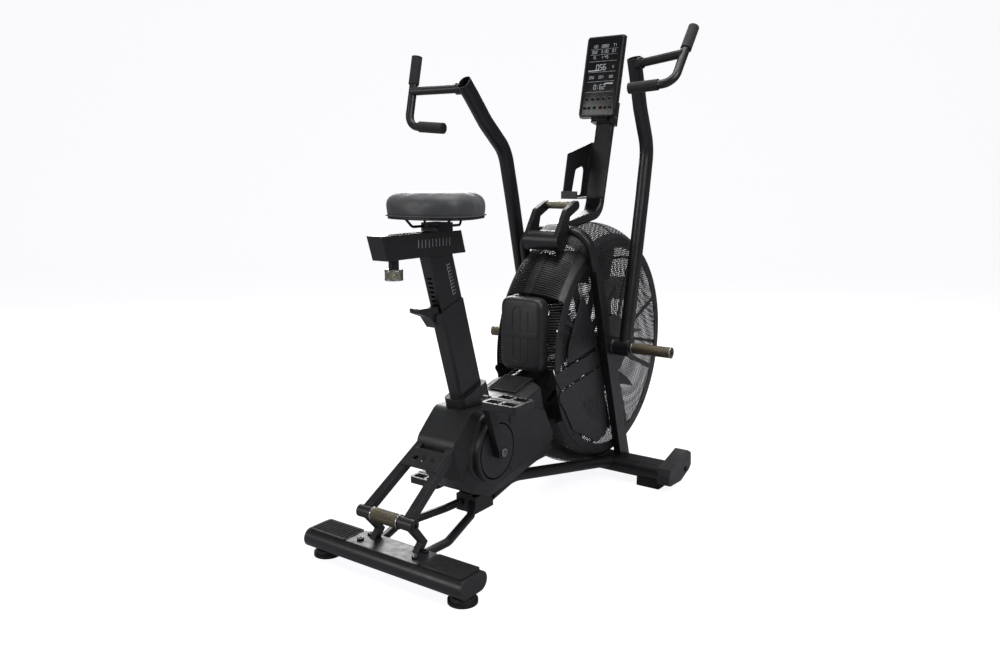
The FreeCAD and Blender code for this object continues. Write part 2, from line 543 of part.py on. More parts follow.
parts["fan_blades"] = Part.Compound([fan_blade(360 * i / FAN_BLADES).cut(
    rod_y(FAN_X, FAN_HEIGHT, -FAN_HALF - 6, FAN_HALF + 6, HUB_D)) for i in range(FAN_BLADES)])
PULLEY_Y0, PULLEY_Y1 = FAN_HALF + 6, FAN_HALF + 21
FAN_PULLEY_D = 56.0
fan_pulley = rod_y(FAN_X, FAN_HEIGHT, PULLEY_Y0, PULLEY_Y1, FAN_PULLEY_D, AXLE_FAN_D + 6)
flange = rod_y(FAN_X, FAN_HEIGHT, PULLEY_Y1 - 1.5, PULLEY_Y1, FAN_PULLEY_D + 8, AXLE_FAN_D + 6)
parts["fan_pulley"] = fan_pulley.fuse(flange).removeSplitter()

# ---------------------------------------------------------------- fan cage
def ring_y(y0, y1, outer, inner):
    """Flat ring round the fan axle, given by its radii."""
    return rod_y(FAN_X, FAN_HEIGHT, y0, y1, 2 * outer, 2 * inner)


RING_IN, HUB_RING_OUT, HUB_RING_IN = CAGE_SIDE_RADIUS - 30, 104.0, 30.0
RIB_WIDTH, RING_THICK = 15.0, 3.4
GRILLE_Y = CAGE_HALF_WIDTH - RING_THICK - SHEET
RING_Y = CAGE_HALF_WIDTH - RING_THICK
cage_side = ring_y(RING_Y, CAGE_HALF_WIDTH, CAGE_SIDE_RADIUS, RING_IN)
cage_side = cage_side.fuse(ring_y(RING_Y, CAGE_HALF_WIDTH, HUB_RING_OUT, HUB_RING_IN))
for i in range(CAGE_RIBS):
    rib = box(HUB_RING_OUT - 4, RING_IN + 4, RING_Y, CAGE_HALF_WIDTH, -RIB_WIDTH / 2, RIB_WIDTH / 2)
    rib.translate(V(FAN_X, 0, FAN_HEIGHT))
    cage_side = cage_side.fuse(turn_y(rib, FAN_X, FAN_HEIGHT, 360 / CAGE_RIBS * (i + 0.5)))
parts["cage_sides"] = both(cage_side.removeSplitter())
parts["cage_grilles"] = both(ring_y(GRILLE_Y, RING_Y, CAGE_SIDE_RADIUS - 2, HUB_RING_IN + 6))

RIM_CUT_X, RIM_CUT_TOP, RIM_CUT_LOW = FAN_X - 345, FAN_HEIGHT + 203, FAN_HEIGHT - 200


def rim_arc(offset):
    """Barrel curve of the rim, moved inwards by offset, at angle zero."""
    edge = CAGE_SIDE_RADIUS - offset
    return Part.Arc(V(FAN_X + edge, -RING_Y, FAN_HEIGHT), V(FAN_X + CAGE_RADIUS - offset, 0, FAN_HEIGHT),
                    V(FAN_X + edge, RING_Y, FAN_HEIGHT)).toShape()


def barrel(offset):
    """Solid inside the barrel curve of the rim."""
    curve = rim_arc(offset)
    start, end = curve.Vertexes[0].Point, curve.Vertexes[-1].Point
    axle_0, axle_1 = V(FAN_X, start.y, FAN_HEIGHT), V(FAN_X, end.y, FAN_HEIGHT)
    ends = [Part.LineSegment(a, b).toShape() for a, b in ((axle_0, start), (end, axle_1), (axle_1, axle_0))]
    rim_wire = Part.Wire([ends[0], curve, ends[1], ends[2]])
    return Part.Face(rim_wire).revolve(V(FAN_X, 0, FAN_HEIGHT), V(0, 1, 0), 360)


barrel_out = barrel(0)
rim = barrel_out.cut(barrel(SHEET)).cut(
    rod_y(FAN_X, FAN_HEIGHT, -RING_Y - 1, RING_Y + 1, 2 * (CAGE_SIDE_RADIUS - SHEET - 1)))
rim = rim.cut(box(RIM_CUT_X - 200, RIM_CUT_X, -200, 200, RIM_CUT_LOW, RIM_CUT_TOP)).cut(front_solid)
rim = rim.cut(box(RIM_CUT_X - 20, RIM_CUT_X + 50, PULLEY_Y0 - 4, PULLEY_Y1 + 4, RIM_CUT_LOW, FAN_HEIGHT))
parts["cage_rim"] = max(rim.Solids, key=lambda solid: solid.Volume)

# ---------------------------------------------------------------- seat
TUBE_AXIS = V(-math.sin(LEAN), 0, math.cos(LEAN))
ACROSS = V(math.cos(LEAN), 0, math.sin(LEAN))


def rounded_rectangle(width, height, r):
    """Closed rounded rectangle in the XY plane."""
    flat = round_wire([(-width / 2, -height / 2), (width / 2, -height / 2), (width / 2, height / 2),
                       (-width / 2, height / 2)], r)
    flat.rotate(V(0, 0, 0), V(1, 0, 0), -90)
    return flat


def seat_bar(z0, z1, depth, thick, r):
    """Solid bar along the seat tube's line between two heights."""
    start = seat_line(z0)
    length = (z1 - z0) / math.cos(LEAN)
    face = Part.Face(place(rounded_rectangle(depth, thick, r), start, ACROSS, TUBE_AXIS))
    return face.extrude(TUBE_AXIS * length)


tube_low = BB_HEIGHT + 70
outer_bar = seat_bar(tube_low, SEAT_TUBE_TOP, SEAT_TUBE_DEPTH, SEAT_TUBE_THICK, 7)
bore_depth, bore_thick = SEAT_TUBE_DEPTH - 2 * SEAT_WALL, SEAT_TUBE_THICK - 2 * SEAT_WALL
inner_bore = seat_bar(tube_low - 5, SEAT_TUBE_TOP + 5, bore_depth, bore_thick, 5)
seat_tube = outer_bar.cut(inner_bore).cut(parts["frame_spine"])
COLLAR_Z0, COLLAR_Z1 = BB_HEIGHT + 98, BB_HEIGHT + 160
collar = seat_bar(COLLAR_Z0, COLLAR_Z1, SEAT_TUBE_DEPTH + 24, SEAT_TUBE_THICK + 24, 12).cut(
    seat_bar(COLLAR_Z0 - 20, COLLAR_Z1 + 20, SEAT_TUBE_DEPTH, SEAT_TUBE_THICK, 7))
LEVER_CLEAR = 7.0
LEVER_PIN = seat_line(SEAT_TUBE_TOP - 10, -SEAT_TUBE_DEPTH / 2 - 16)
LEVER_PIN_D, LUG_THICK, LUG_Y = 8.0, 5.0, 17.0
lug = rod_y(LEVER_PIN.x, LEVER_PIN.z, LUG_Y, LUG_Y + LUG_THICK, 24)
lug = lug.fuse(box(LEVER_PIN.x, LEVER_PIN.x + 30, LUG_Y, LUG_Y + LUG_THICK, LEVER_PIN.z - 12,
                   LEVER_PIN.z + 12)).cut(outer_bar)
lug = max(lug.Solids, key=lambda solid: solid.Volume).cut(
    rod_y(LEVER_PIN.x, LEVER_PIN.z, 0, 60, LEVER_PIN_D))
lever_pin = rod_y(LEVER_PIN.x, LEVER_PIN.z, -LUG_Y - LUG_THICK - 1, LUG_Y + LUG_THICK + 1, LEVER_PIN_D)
parts["seat_tube"] = Part.Compound([seat_tube, collar, lug, mirror(lug), lever_pin])

LEVER_HALF = LUG_Y - 0.5
tip = V(LEVER_PIN.x - 72, 0, LEVER_PIN.z + 32)
lever = round_plate([(LEVER_PIN.x + 7, LEVER_PIN.z + 30), (tip.x, tip.z), (tip.x + 4, tip.z - 12),
                     (LEVER_PIN.x - 30, LEVER_PIN.z + 6), (LEVER_PIN.x - 4, LEVER_PIN.z - 26),
                     (LEVER_PIN.x + 7, LEVER_PIN.z - 22)], -LEVER_HALF, LEVER_HALF, 5)
lever = lever.cut(seat_bar(tube_low, SEAT_TUBE_TOP + 30, SEAT_TUBE_DEPTH + 2 * LEVER_CLEAR, 100, 2))
lever = lever.cut(rod_y(LEVER_PIN.x, LEVER_PIN.z, -60, 60, LEVER_PIN_D + 2 * RUNNING_FIT))
parts["height_lever"] = max(lever.Solids, key=lambda solid: solid.Volume)

SLIDER_LOW = SLIDER_TOP - SLIDER_HEIGHT
POST_TOP = SLIDER_LOW
POST_LOW = SEAT_TUBE_TOP - 190
post_depth, post_thick = bore_depth - 2 * POST_GAP, bore_thick - 2 * POST_GAP
post = seat_bar(POST_LOW, POST_TOP + 40, post_depth, post_thick, 4).cut(
    seat_bar(POST_LOW - 5, POST_TOP + 60, post_depth - 5, post_thick - 5, 2))
post = post.cut(box(-2000, 2000, -200, 200, POST_TOP, POST_TOP + 300))
SLOT_COUNT, SLOT_PITCH = 11, 12.0
slots = [box(-14, 14, -8, 8, -2.5, 2.5) for _ in range(SLOT_COUNT)]
for i, slot in enumerate(slots):
    slot.translate(seat_line(POST_TOP - 46 - i * SLOT_PITCH, -post_depth / 2))
parts["seat_post"] = bored(post, *slots)

# Slider beam on top of the post, with its ends parallel to the post.
lean_shift = SLIDER_HEIGHT * math.tan(LEAN)
BEAM_FRONT = seat_line(POST_TOP).x + 88
BEAM_REAR = BEAM_FRONT - SLIDER_LENGTH
beam_outline = [(BEAM_REAR, SLIDER_LOW), (BEAM_FRONT, SLIDER_LOW), (BEAM_FRONT - lean_shift, SLIDER_TOP),
                (BEAM_REAR - lean_shift, SLIDER_TOP)]
BEAM_WALL = 3.0
beam = plate(beam_outline, -SLIDER_WIDTH / 2, SLIDER_WIDTH / 2)
beam_core = box(-2000, 2000, -SLIDER_WIDTH / 2 + BEAM_WALL, SLIDER_WIDTH / 2 - BEAM_WALL,
                SLIDER_LOW + BEAM_WALL, SLIDER_TOP - BEAM_WALL)
SLOT_HALF = 10.0
SLOT_X0, SLOT_X1 = BEAM_REAR + 26, BEAM_FRONT - 30
beam = bored(beam, beam_core, box(SLOT_X0, SLOT_X1, -SLOT_HALF, SLOT_HALF, SLIDER_TOP - 10, SLIDER_TOP + 1))
KNOB_X = BEAM_REAR + 42
KNOB_STEM_D = 12.0
knob_bore = KNOB_STEM_D + 2 * RUNNING_FIT
beam = beam.cut(rod(V(KNOB_X, 0, SLIDER_LOW - 5), V(KNOB_X, 0, SLIDER_LOW + 10), knob_bore))
guide = rod(V(KNOB_X, 0, SLIDER_LOW - 22), V(KNOB_X, 0, SLIDER_LOW), 25, knob_bore)
CAP = 5.0
end_cap = plate([(BEAM_REAR - CAP, SLIDER_LOW), (BEAM_REAR, SLIDER_LOW), (BEAM_REAR - lean_shift, SLIDER_TOP),
                 (BEAM_REAR - lean_shift - CAP, SLIDER_TOP)], -SLIDER_WIDTH / 2, SLIDER_WIDTH / 2)
front_cap = end_cap.translated(V(SLIDER_LENGTH + CAP, 0, 0))
parts["seat_slider"] = Part.Compound([beam, guide, end_cap, front_cap])
KNOB_TRAVEL = 8.0
knob_top = SLIDER_LOW - 22 - KNOB_TRAVEL - 1
knob = fuse(Part.makeCylinder(22, 27, V(KNOB_X, 0, knob_top - 27 + KNOB_TRAVEL)),
            Part.makeCylinder(KNOB_STEM_D / 2, 22 + 9, V(KNOB_X, 0, knob_top + KNOB_TRAVEL)))
parts["seat_knob"] = knob

CARRIAGE_X = seat_line(POST_TOP).x + 6
SLIDE_GAP = 0.5
INNER_TOP = SLIDER_TOP - BEAM_WALL
carriage = box(CARRIAGE_X - 40, CARRIAGE_X + 40, -SLIDER_WIDTH / 2 + BEAM_WALL + SLIDE_GAP,
               SLIDER_WIDTH / 2 - BEAM_WALL - SLIDE_GAP, INNER_TOP - 22, INNER_TOP - SLIDE_GAP)
neck = box(CARRIAGE_X - 24, CARRIAGE_X + 24, -SLOT_HALF + SLIDE_GAP, SLOT_HALF - SLIDE_GAP,
           INNER_TOP - 5, SLIDER_TOP + 4)
RAIL_Z, SEAT_RAIL_D, SEAT_RAIL_Y = SLIDER_TOP + 13.0, 7.0, 22.0
clamp = rounded_box(CARRIAGE_X - 30, CARRIAGE_X + 30, -30, 30, SLIDER_TOP + SLIDE_GAP, SLIDER_TOP + 22, 5)
seat_rail_way = [V(CARRIAGE_X - 84, SEAT_RAIL_Y + 8, CUSHION_BASE + 1),
                 V(CARRIAGE_X - 70, SEAT_RAIL_Y, RAIL_Z), V(CARRIAGE_X + 66, SEAT_RAIL_Y, RAIL_Z),
                 V(CARRIAGE_X + 84, SEAT_RAIL_Y - 8, CUSHION_BASE + 1)]
seat_rail = sweep(seat_rail_way, 12, oval(SEAT_RAIL_D, SEAT_RAIL_D), V(0, 1, 0))
seat_rail = seat_rail.cut(box(CARRIAGE_X - 200, CARRIAGE_X + 200, -60, 60, CUSHION_BASE, CUSHION_BASE + 20))
carriage = fuse(carriage, neck, clamp)
seat_rails = [seat_rail, mirror(seat_rail)]
parts["seat_carriage"] = Part.Compound([bored(carriage, *seat_rails), *seat_rails])

CUSHION_X = CARRIAGE_X + 12
half_l, half_w = CUSHION_LENGTH / 2, CUSHION_WIDTH / 2
half_plan = [(-half_l, 0.66 * half_w), (-half_l * 0.6, half_w), (half_l * 0.05, 0.94 * half_w),
             (half_l, 0.5 * half_w)]
cushion_plan = half_plan + [(x, -y) for x, y in reversed(half_plan)]
plan = round_wire(cushion_plan, 60)
plan.rotate(V(0, 0, 0), V(1, 0, 0), -90)
plan.translate(V(CUSHION_X, 0, CUSHION_BASE))
cushion = Part.Face(plan).extrude(V(0, 0, CUSHION_THICK))
top_edges = [e for e in cushion.Edges if e.BoundBox.ZMin > CUSHION_BASE + CUSHION_THICK - 1]
cushion = cushion.makeFillet(22, top_edges)
parts["seat_cushion"] = cushion

# ---------------------------------------------------------------- crank train
BEARING_OUT, BEARING_IN = BB_TUBE_HALF, BB_TUBE_HALF - 12
crank_bearing = rod_y(BB_X, BB_HEIGHT, BEARING_IN, BEARING_OUT, BB_BORE_D, AXLE_D + 2 * RUNNING_FIT)
CRANK_IN, CRANK_OUT = CRANK_Y - CRANK_THICK / 2, CRANK_Y + CRANK_THICK / 2
SPINDLE_D, SPINDLE_END = 13.0, CRANK_OUT + 6 + PEDAL_LENGTH - 4
crank_axle = rod_y(BB_X, BB_HEIGHT, -CRANK_OUT, CRANK_OUT, AXLE_D)


def crank_point(degrees):
    """Where a pedal spindle sits when its crank points the given way from +X towards +Z."""
    a = math.radians(degrees)
    return V(BB_X + CRANK_LENGTH * math.cos(a), 0, BB_HEIGHT + CRANK_LENGTH * math.sin(a))


def crank_arm(degrees, y0, y1):
    """Tapered crank arm with round ends."""
    a = math.radians(degrees)
    end = crank_point(degrees)
    side = V(-math.sin(a), 0, math.cos(a))
    root = V(BB_X, 0, BB_HEIGHT)
    web = [root + side * 17, end + side * 13, end - side * 13, root - side * 17]
    solid = plate([(p.x, p.z) for p in web], y0, y1)
    solid = solid.fuse([rod_y(BB_X, BB_HEIGHT, y0, y1, 38), rod_y(end.x, end.z, y0, y1, 28)])
    solid = solid.removeSplitter()
    return bored(solid, rod_y(BB_X, BB_HEIGHT, y0 - 1, y1 + 1, AXLE_D),
                 rod_y(end.x, end.z, y0 - 1, y1 + 1, SPINDLE_D))


LEFT_REST = CRANK_REST + 180
right_end, left_end = crank_point(CRANK_REST), crank_point(LEFT_REST)
spindle_left = rod_y(left_end.x, left_end.z, CRANK_IN, SPINDLE_END, SPINDLE_D)
spindle_right = rod_y(right_end.x, right_end.z, -SPINDLE_END, -CRANK_IN, SPINDLE_D)
crank_bolt = rod_y(BB_X, BB_HEIGHT, CRANK_OUT, CRANK_OUT + 4, 24).cut(
    rod_y(BB_X, BB_HEIGHT, CRANK_OUT + 1, CRANK_OUT + 5, 12))
parts["crank_axle"] = Part.Compound([crank_axle, spindle_left, spindle_right, crank_bolt, mirror(crank_bolt)])
parts["crank_arms"] = Part.Compound([crank_arm(LEFT_REST, CRANK_IN, CRANK_OUT),
                                     crank_arm(CRANK_REST, -CRANK_OUT, -CRANK_IN)])
PEDAL_Y0 = CRANK_OUT + 6


def pedal(centre, s):
    """Platform pedal: a cage of two side rails and cross bars round a barrel on the spindle."""
    y0, y1 = PEDAL_Y0, PEDAL_Y0 + PEDAL_LENGTH
    h, w = PEDAL_THICK / 2, PEDAL_WIDTH / 2
    barrel_solid = rod_y(centre.x, centre.z, y0, y1, PEDAL_THICK)
    frame = rounded_box(centre.x - w, centre.x + w, y0, y1, centre.z - h + 2, centre.z + h - 2, 12)
    for x0, x1 in ((-w + 9, -PEDAL_THICK / 2 - 1), (PEDAL_THICK / 2 + 1, w - 9)):
        for row in range(2):
            gap = (PEDAL_LENGTH - 30) / 2
            start = y0 + 10 + row * (gap + 10)
            frame = frame.cut(box(centre.x + x0, centre.x + x1, start, start + gap,
                                  centre.z - h, centre.z + h))
    solid = frame.fuse(barrel_solid).removeSplitter()
    solid = solid.cut(rod_y(centre.x, centre.z, y0 - 1, SPINDLE_END + 0.5, SPINDLE_D + 2 * RUNNING_FIT))
    return solid if s > 0 else mirror(solid)


parts["pedal_left"] = pedal(left_end, 1)
parts["pedal_right"] = pedal(right_end, -1)
DRIVE_D, DRIVE_Y0, DRIVE_Y1 = 206.0, 52.0, 64.0
drive = rod_y(BB_X, BB_HEIGHT, DRIVE_Y0, DRIVE_Y1, DRIVE_D, AXLE_D)
DRIVE_HOLES = 6
for i in range(DRIVE_HOLES):
    a = 2 * math.pi * i / DRIVE_HOLES
    hole_x, hole_z = BB_X + 62 * math.cos(a), BB_HEIGHT + 62 * math.sin(a)
    drive = drive.cut(rod_y(hole_x, hole_z, DRIVE_Y0 - 1, DRIVE_Y1 + 1, 38))
parts["drive_pulley"] = drive
JACK_SMALL, JACK_LARGE = 48.0, 124.0
jack = rod_y(JACK_X, JACK_Z, -20, PULLEY_Y1, JACK_D)
small = rod_y(JACK_X, JACK_Z, DRIVE_Y0, DRIVE_Y1, JACK_SMALL, JACK_D)
large = rod_y(JACK_X, JACK_Z, PULLEY_Y0, PULLEY_Y1, JACK_LARGE, JACK_D)
parts["jackshaft"] = Part.Compound([jack, small, large])
BELT_THICK, BELT_GAP = 4.0, 0.4


def loop(a, ra, b, rb, y0, y1):
    """Solid outline of a belt run round two circles."""
    line = b - a
    spread = math.acos((ra - rb) / line.Length)
    base = math.atan2(line.z, line.x)

    def at(c, r, t):
        return V(c.x + r * math.cos(t), y0, c.z + r * math.sin(t))

    up, down = base + spread, base - spread
    wire = Part.Wire([Part.LineSegment(at(a, ra, up), at(b, rb, up)).toShape(),
                      Part.Arc(at(b, rb, up), at(b, rb, base), at(b, rb, down)).toShape(),
                      Part.LineSegment(at(b, rb, down), at(a, ra, down)).toShape(),
                      Part.Arc(at(a, ra, down), at(a, ra, base + math.pi), at(a, ra, up)).toShape()])
    return Part.Face(wire).extrude(V(0, y1 - y0, 0))


def belt(a, da, b, db, y0, y1):
    """Belt of one thickness round two pulleys."""
    ra, rb = da / 2 + BELT_GAP, db / 2 + BELT_GAP
    return loop(a, ra + BELT_THICK, b, rb + BELT_THICK, y0, y1).cut(loop(a, ra, b, rb, y0, y1))


bb, jack_at, fan_at = V(BB_X, 0, BB_HEIGHT), V(JACK_X, 0, JACK_Z), V(FAN_X, 0, FAN_HEIGHT)
first_belt = belt(bb, DRIVE_D, jack_at, JACK_SMALL, DRIVE_Y0 + 1, DRIVE_Y1 - 1)
second_belt = belt(jack_at, JACK_LARGE, fan_at, FAN_PULLEY_D, PULLEY_Y0 + 1, PULLEY_Y1 - 2.5)
parts["drive_belts"] = Part.Compound([first_belt, second_belt])
parts["crank_bearings"] = both(crank_bearing)

# ---------------------------------------------------------------- body covers
def disc_y(radius, y0, y1, x=FAN_X, z=FAN_HEIGHT):
    """Round slug along Y, about the fan axle unless another centre is given."""
    return rod_y(x, z, y0, y1, 2 * radius)


# Outlines about the crank axle: the broad middle band, and the flat sides, which are smaller all round.
BODY_MIDDLE = [(-139, 49), (-144, 21), (-106, -67), (-63, -112), (20, -145), (118, -134),
               (360, -92), (360, 144), (264, 143), (156, 116), (60, 112), (-62, 120)]
BODY_SIDE = [(-78, 46), (-98, 12), (-104, -36), (-52, -82), (32, -111), (131, -96),
             (360, -46), (360, 134), (262, 133), (154, 106), (58, 102), (-50, 108)]
BODY_MIDDLE_HALF = 62.0


def body_section(outline, y, inset):
    """Rounded outline of the body at one distance across, drawn in by the inset."""
    xs, zs = [x for x, z in outline], [z for x, z in outline]
    mid_x, mid_z = (min(xs) + max(xs)) / 2, (min(zs) + max(zs)) / 2
    wide, tall = max(xs) - mid_x, max(zs) - mid_z
    wire = round_wire([(BB_X + mid_x + (x - mid_x) * (wide - inset) / wide,
                        BB_HEIGHT + mid_z + (z - mid_z) * (tall - inset) / tall) for x, z in outline], 40)
    wire.translate(V(0, y, 0))
    return wire


def body_solid(inset):
    """Filled body form, drawn in on every face by the inset; its side edges are eased in two steps."""
    half, middle = BODY_HALF_WIDTH - inset, BODY_MIDDLE_HALF - inset * 0.6
    levels = [(BODY_SIDE, half, 8), (BODY_SIDE, half - 2.5, 3), (BODY_SIDE, half - 8, 0)]
    levels.append((BODY_MIDDLE, middle, 0))
    sections = [body_section(outline, -y, inset + ease) for outline, y, ease in levels]
    sections += [body_section(outline, y, inset + ease) for outline, y, ease in reversed(levels)]
    return Part.makeLoft(sections, True, True)


RIM_CLEAR = CAGE_RADIUS + 4
front_cut = disc_y(RIM_CLEAR, -200, 200)
body = body_solid(0).cut(body_solid(BODY_WALL)).cut(front_cut)
seat_slot = seat_bar(BB_HEIGHT + 60, BB_HEIGHT + 200, SEAT_TUBE_DEPTH + 1, SEAT_TUBE_THICK + 1, 7)
body = body.cut(seat_slot).cut(disc_y(AXLE_D / 2 + 4, -200, 200, BB_X, BB_HEIGHT))
body = bored(body, rail, mirror(rail), parts["frame_spine"], parts["lower_rails"], head,
             parts["wishbone_tubes"], seat_bar(COLLAR_Z0 - 1, COLLAR_Z1 + 1, SEAT_TUBE_DEPTH + 25,
                                               SEAT_TUBE_THICK + 25, 12))
parts["body_shell"] = max(body.Solids, key=lambda solid: solid.Volume)
DISC_Y1 = BODY_HALF_WIDTH + 16
cover = disc_y(DISC_RADIUS, BODY_HALF_WIDTH, DISC_Y1, BB_X, BB_HEIGHT)
cover = cover.makeFillet(4, [e for e in cover.Edges if e.BoundBox.YMin > DISC_Y1 - 0.01])
cover = cover.cut(disc_y(DISC_RADIUS - 4, BODY_HALF_WIDTH - 1, DISC_Y1 - 3, BB_X, BB_HEIGHT))
cover = cover.cut(disc_y(AXLE_D / 2 + 3, 0, 200, BB_X, BB_HEIGHT))
band_plate = round_plate([(FAN_X - 365, FAN_HEIGHT - 27), (FAN_X - 80, FAN_HEIGHT + 6),
                          (FAN_X - 51, FAN_HEIGHT - 39), (FAN_X - 324, FAN_HEIGHT - 81)],
                         CAGE_HALF_WIDTH, CAGE_HALF_WIDTH + 2.5, 8)
band_plate = band_plate.cut(bracket).cut(leg)
band_plate = max(band_plate.Solids, key=lambda solid: solid.Volume)
side_panel = round_plate([(FAN_X - 352, FAN_HEIGHT - 92), (FAN_X - 66, FAN_HEIGHT - 50),
                          (FAN_X - 28, FAN_HEIGHT - 286), (FAN_X - 94, FAN_HEIGHT - 302),
                          (FAN_X - 250, FAN_HEIGHT - 222), (FAN_X - 300, FAN_HEIGHT - 147)],
                         CAGE_HALF_WIDTH, CAGE_HALF_WIDTH + 4, 18)
side_panel = side_panel.cut(bracket).cut(leg)
side_panel = max(side_panel.Solids, key=lambda solid: solid.Volume)
parts["side_covers"] = Part.Compound([cover, mirror(cover), band_plate, mirror(band_plate),
                                      side_panel, mirror(side_panel)])

# Rubber tread on top of the body, in front of the seat tube.
tread_low, tread_high = V(BB_X + 156, 0, BB_HEIGHT + 116), V(BB_X + 264, 0, BB_HEIGHT + 143)
tread_run = (tread_high - tread_low).normalize()
tread_up = V(-tread_run.z, 0, tread_run.x)
TREAD_THICK, TREAD_RIBS = 5.0, 7
tread_corners = [tread_low + tread_run * 4, tread_high - tread_run * 6]
tread = plate([(p.x, p.z) for p in (tread_corners[0], tread_corners[1], tread_corners[1] + tread_up * 3,
                                    tread_corners[0] + tread_up * 3)], -50, 50)
tread_length = (tread_corners[1] - tread_corners[0]).Length
for i in range(TREAD_RIBS):
    at = tread_corners[0] + tread_run * (tread_length * (i + 0.5) / TREAD_RIBS)
    tread_rib = [at + tread_run * a + tread_up * b
                 for a, b in ((-3.5, 0), (3.5, 0), (2, TREAD_THICK), (-2, TREAD_THICK))]
    tread = tread.fuse(plate([(p.x, p.z) for p in tread_rib], -46, 46))
tread = tread.removeSplitter().cut(body_solid(0)).cut(front_cut)
parts["step_tread"] = max(tread.Solids, key=lambda solid: solid.Volume)

# Upright guard that closes the open back of the cage.
GUARD_HALF, GUARD_WALL, GUARD_LOW, GUARD_TOP = 75.0, 3.0, BB_HEIGHT + 158, FAN_HEIGHT + 196
GUARD_BACK, GUARD_FRONT = FAN_X - 382, FAN_X - 346
guard = rounded_box(GUARD_BACK, GUARD_FRONT + 30, -GUARD_HALF, GUARD_HALF, GUARD_LOW, GUARD_TOP, 24)
guard_core = rounded_box(GUARD_BACK + GUARD_WALL, GUARD_FRONT + 60, -GUARD_HALF + GUARD_WALL,
                         GUARD_HALF - GUARD_WALL, GUARD_LOW - 5, GUARD_TOP - GUARD_WALL, 21)
guard = guard.cut(guard_core).cut(box(GUARD_FRONT, 0, -200, 200, 0, 1000))
pill = rounded_box(GUARD_BACK - 1, GUARD_BACK + 1.2, -26, 26, GUARD_LOW + 24, GUARD_TOP - 24, 25, "x")
pill = pill.cut(box(GUARD_BACK - 5, GUARD_BACK + 5, -30, 30, (GUARD_LOW + GUARD_TOP) / 2 - 14,
                    (GUARD_LOW + GUARD_TOP) / 2 + 14))
guard = guard.cut(pill).cut(parts["cage_rim"])
parts["wind_guard"] = max(guard.Solids, key=lambda solid: solid.Volume)

# ---------------------------------------------------------------- mast and console
MAST_WAY = [V(arch_top.x + 2, 0, arch_top.z + 4), V(FAN_X + 49, 0, FAN_HEIGHT + CAGE_RADIUS + 26),
            V(FAN_X + 125, 0, FAN_HEIGHT + 743)]
MAST_BEND, MAST_WALL = 55, 2.5
mast = sweep(MAST_WAY, MAST_BEND, rounded_rectangle(MAST_DEPTH, MAST_WIDTH, 8), V(0, 0, 1))
mast_outer = mast.copy()
mast_core = sweep(MAST_WAY, MAST_BEND, rounded_rectangle(
    MAST_DEPTH - 2 * MAST_WALL, MAST_WIDTH - 2 * MAST_WALL, 6), V(0, 0, 1))
arch_outer = sweep([arch_foot, V(arch_top.x, LEG_Y - 8, arch_top.z), V(arch_top.x, -LEG_Y + 8, arch_top.z),
                    V(arch_foot.x, -LEG_Y, arch_foot.z)], 70, oval(36, LEG_THICK), V(1, 0, 0.3))
mast = mast.cut(mast_core).cut(arch_outer)
parts["mast"] = max(mast.Solids, key=lambda solid: solid.Volume)

CONSOLE_FOOT = V(FAN_X + 53, 0, 1183.0)
console_lean = math.asin(57 / CONSOLE_HEIGHT)
console_up = V(math.sin(console_lean), 0, math.cos(console_lean))
console_out = V(math.cos(console_lean), 0, -math.sin(console_lean))


def console_block(u0, u1, v0, v1, w0, w1, r):
    """Rounded block on the console: u up its face, v across, w forwards from the face."""
    flat = round_wire([(v0, w0), (v1, w0), (v1, w1), (v0, w1)], r)
    flat.rotate(V(0, 0, 0), V(1, 0, 0), -90)
    face = Part.Face(place(flat, CONSOLE_FOOT + console_up * u0, V(0, -1, 0), console_up))
    return face.extrude(console_up * (u1 - u0))


CONSOLE_HALF = CONSOLE_WIDTH / 2
case = console_block(0, CONSOLE_HEIGHT, -CONSOLE_HALF, CONSOLE_HALF, 0, CONSOLE_DEPTH, 8)
case = fuse(case, console_block(24, 210, -44, 44, CONSOLE_DEPTH - 2, CONSOLE_DEPTH + 16, 8),
            console_block(-10, 66, -35, 35, CONSOLE_DEPTH - 4, CONSOLE_DEPTH + 66, 9))
SCREEN_LOW, SCREEN_HIGH, SCREEN_HALF = 76.0, 242.0, 52.0
case = case.cut(console_block(SCREEN_LOW, SCREEN_HIGH, -SCREEN_HALF, SCREEN_HALF, -1, 1.2, 0.9))
parts["console"] = case.cut(mast_outer)
KEY_ROWS = ((56.0, (-42, -20, 0, 20, 42), 13, 9), (28.0, (-46, -30, -10, 12, 30, 46), 12, 11))
keys = [console_block(up - tall / 2, up + tall / 2, v - wide / 2, v + wide / 2, -1.2, 0, 0.5)
        for up, across, wide, tall in KEY_ROWS for v in across]
parts["console_keys"] = Part.Compound(keys)

# Tablet holder: a back sheet on the mast, a side wing with a window, and a lipped tray.
MAST_TILT = (MAST_WAY[2] - MAST_WAY[1]).normalize()
MAST_BACK = V(-MAST_TILT.z, 0, MAST_TILT.x)
HOLDER_SHEET, HOLDER_HALF = 2.5, 37.0
back_low = MAST_WAY[1] + MAST_TILT * 52 + MAST_BACK * (MAST_DEPTH / 2)
back_high = MAST_WAY[1] + MAST_TILT * 232 + MAST_BACK * (MAST_DEPTH / 2)
back = plate([(p.x, p.z) for p in (back_low, back_high, back_high + MAST_BACK * HOLDER_SHEET,
                                   back_low + MAST_BACK * HOLDER_SHEET)], -HOLDER_HALF, HOLDER_HALF)
wing = plate([(back_high.x, back_high.z), (FAN_X - 61, FAN_HEIGHT + 617), (FAN_X - 92, FAN_HEIGHT + 476),
              (back_low.x, back_low.z)], HOLDER_HALF - HOLDER_SHEET, HOLDER_HALF)
window = round_plate([(FAN_X + 44, FAN_HEIGHT + 583), (FAN_X - 12, FAN_HEIGHT + 568),
                      (FAN_X - 38, FAN_HEIGHT + 486), (FAN_X + 24, FAN_HEIGHT + 486)], 0, 60, 14)
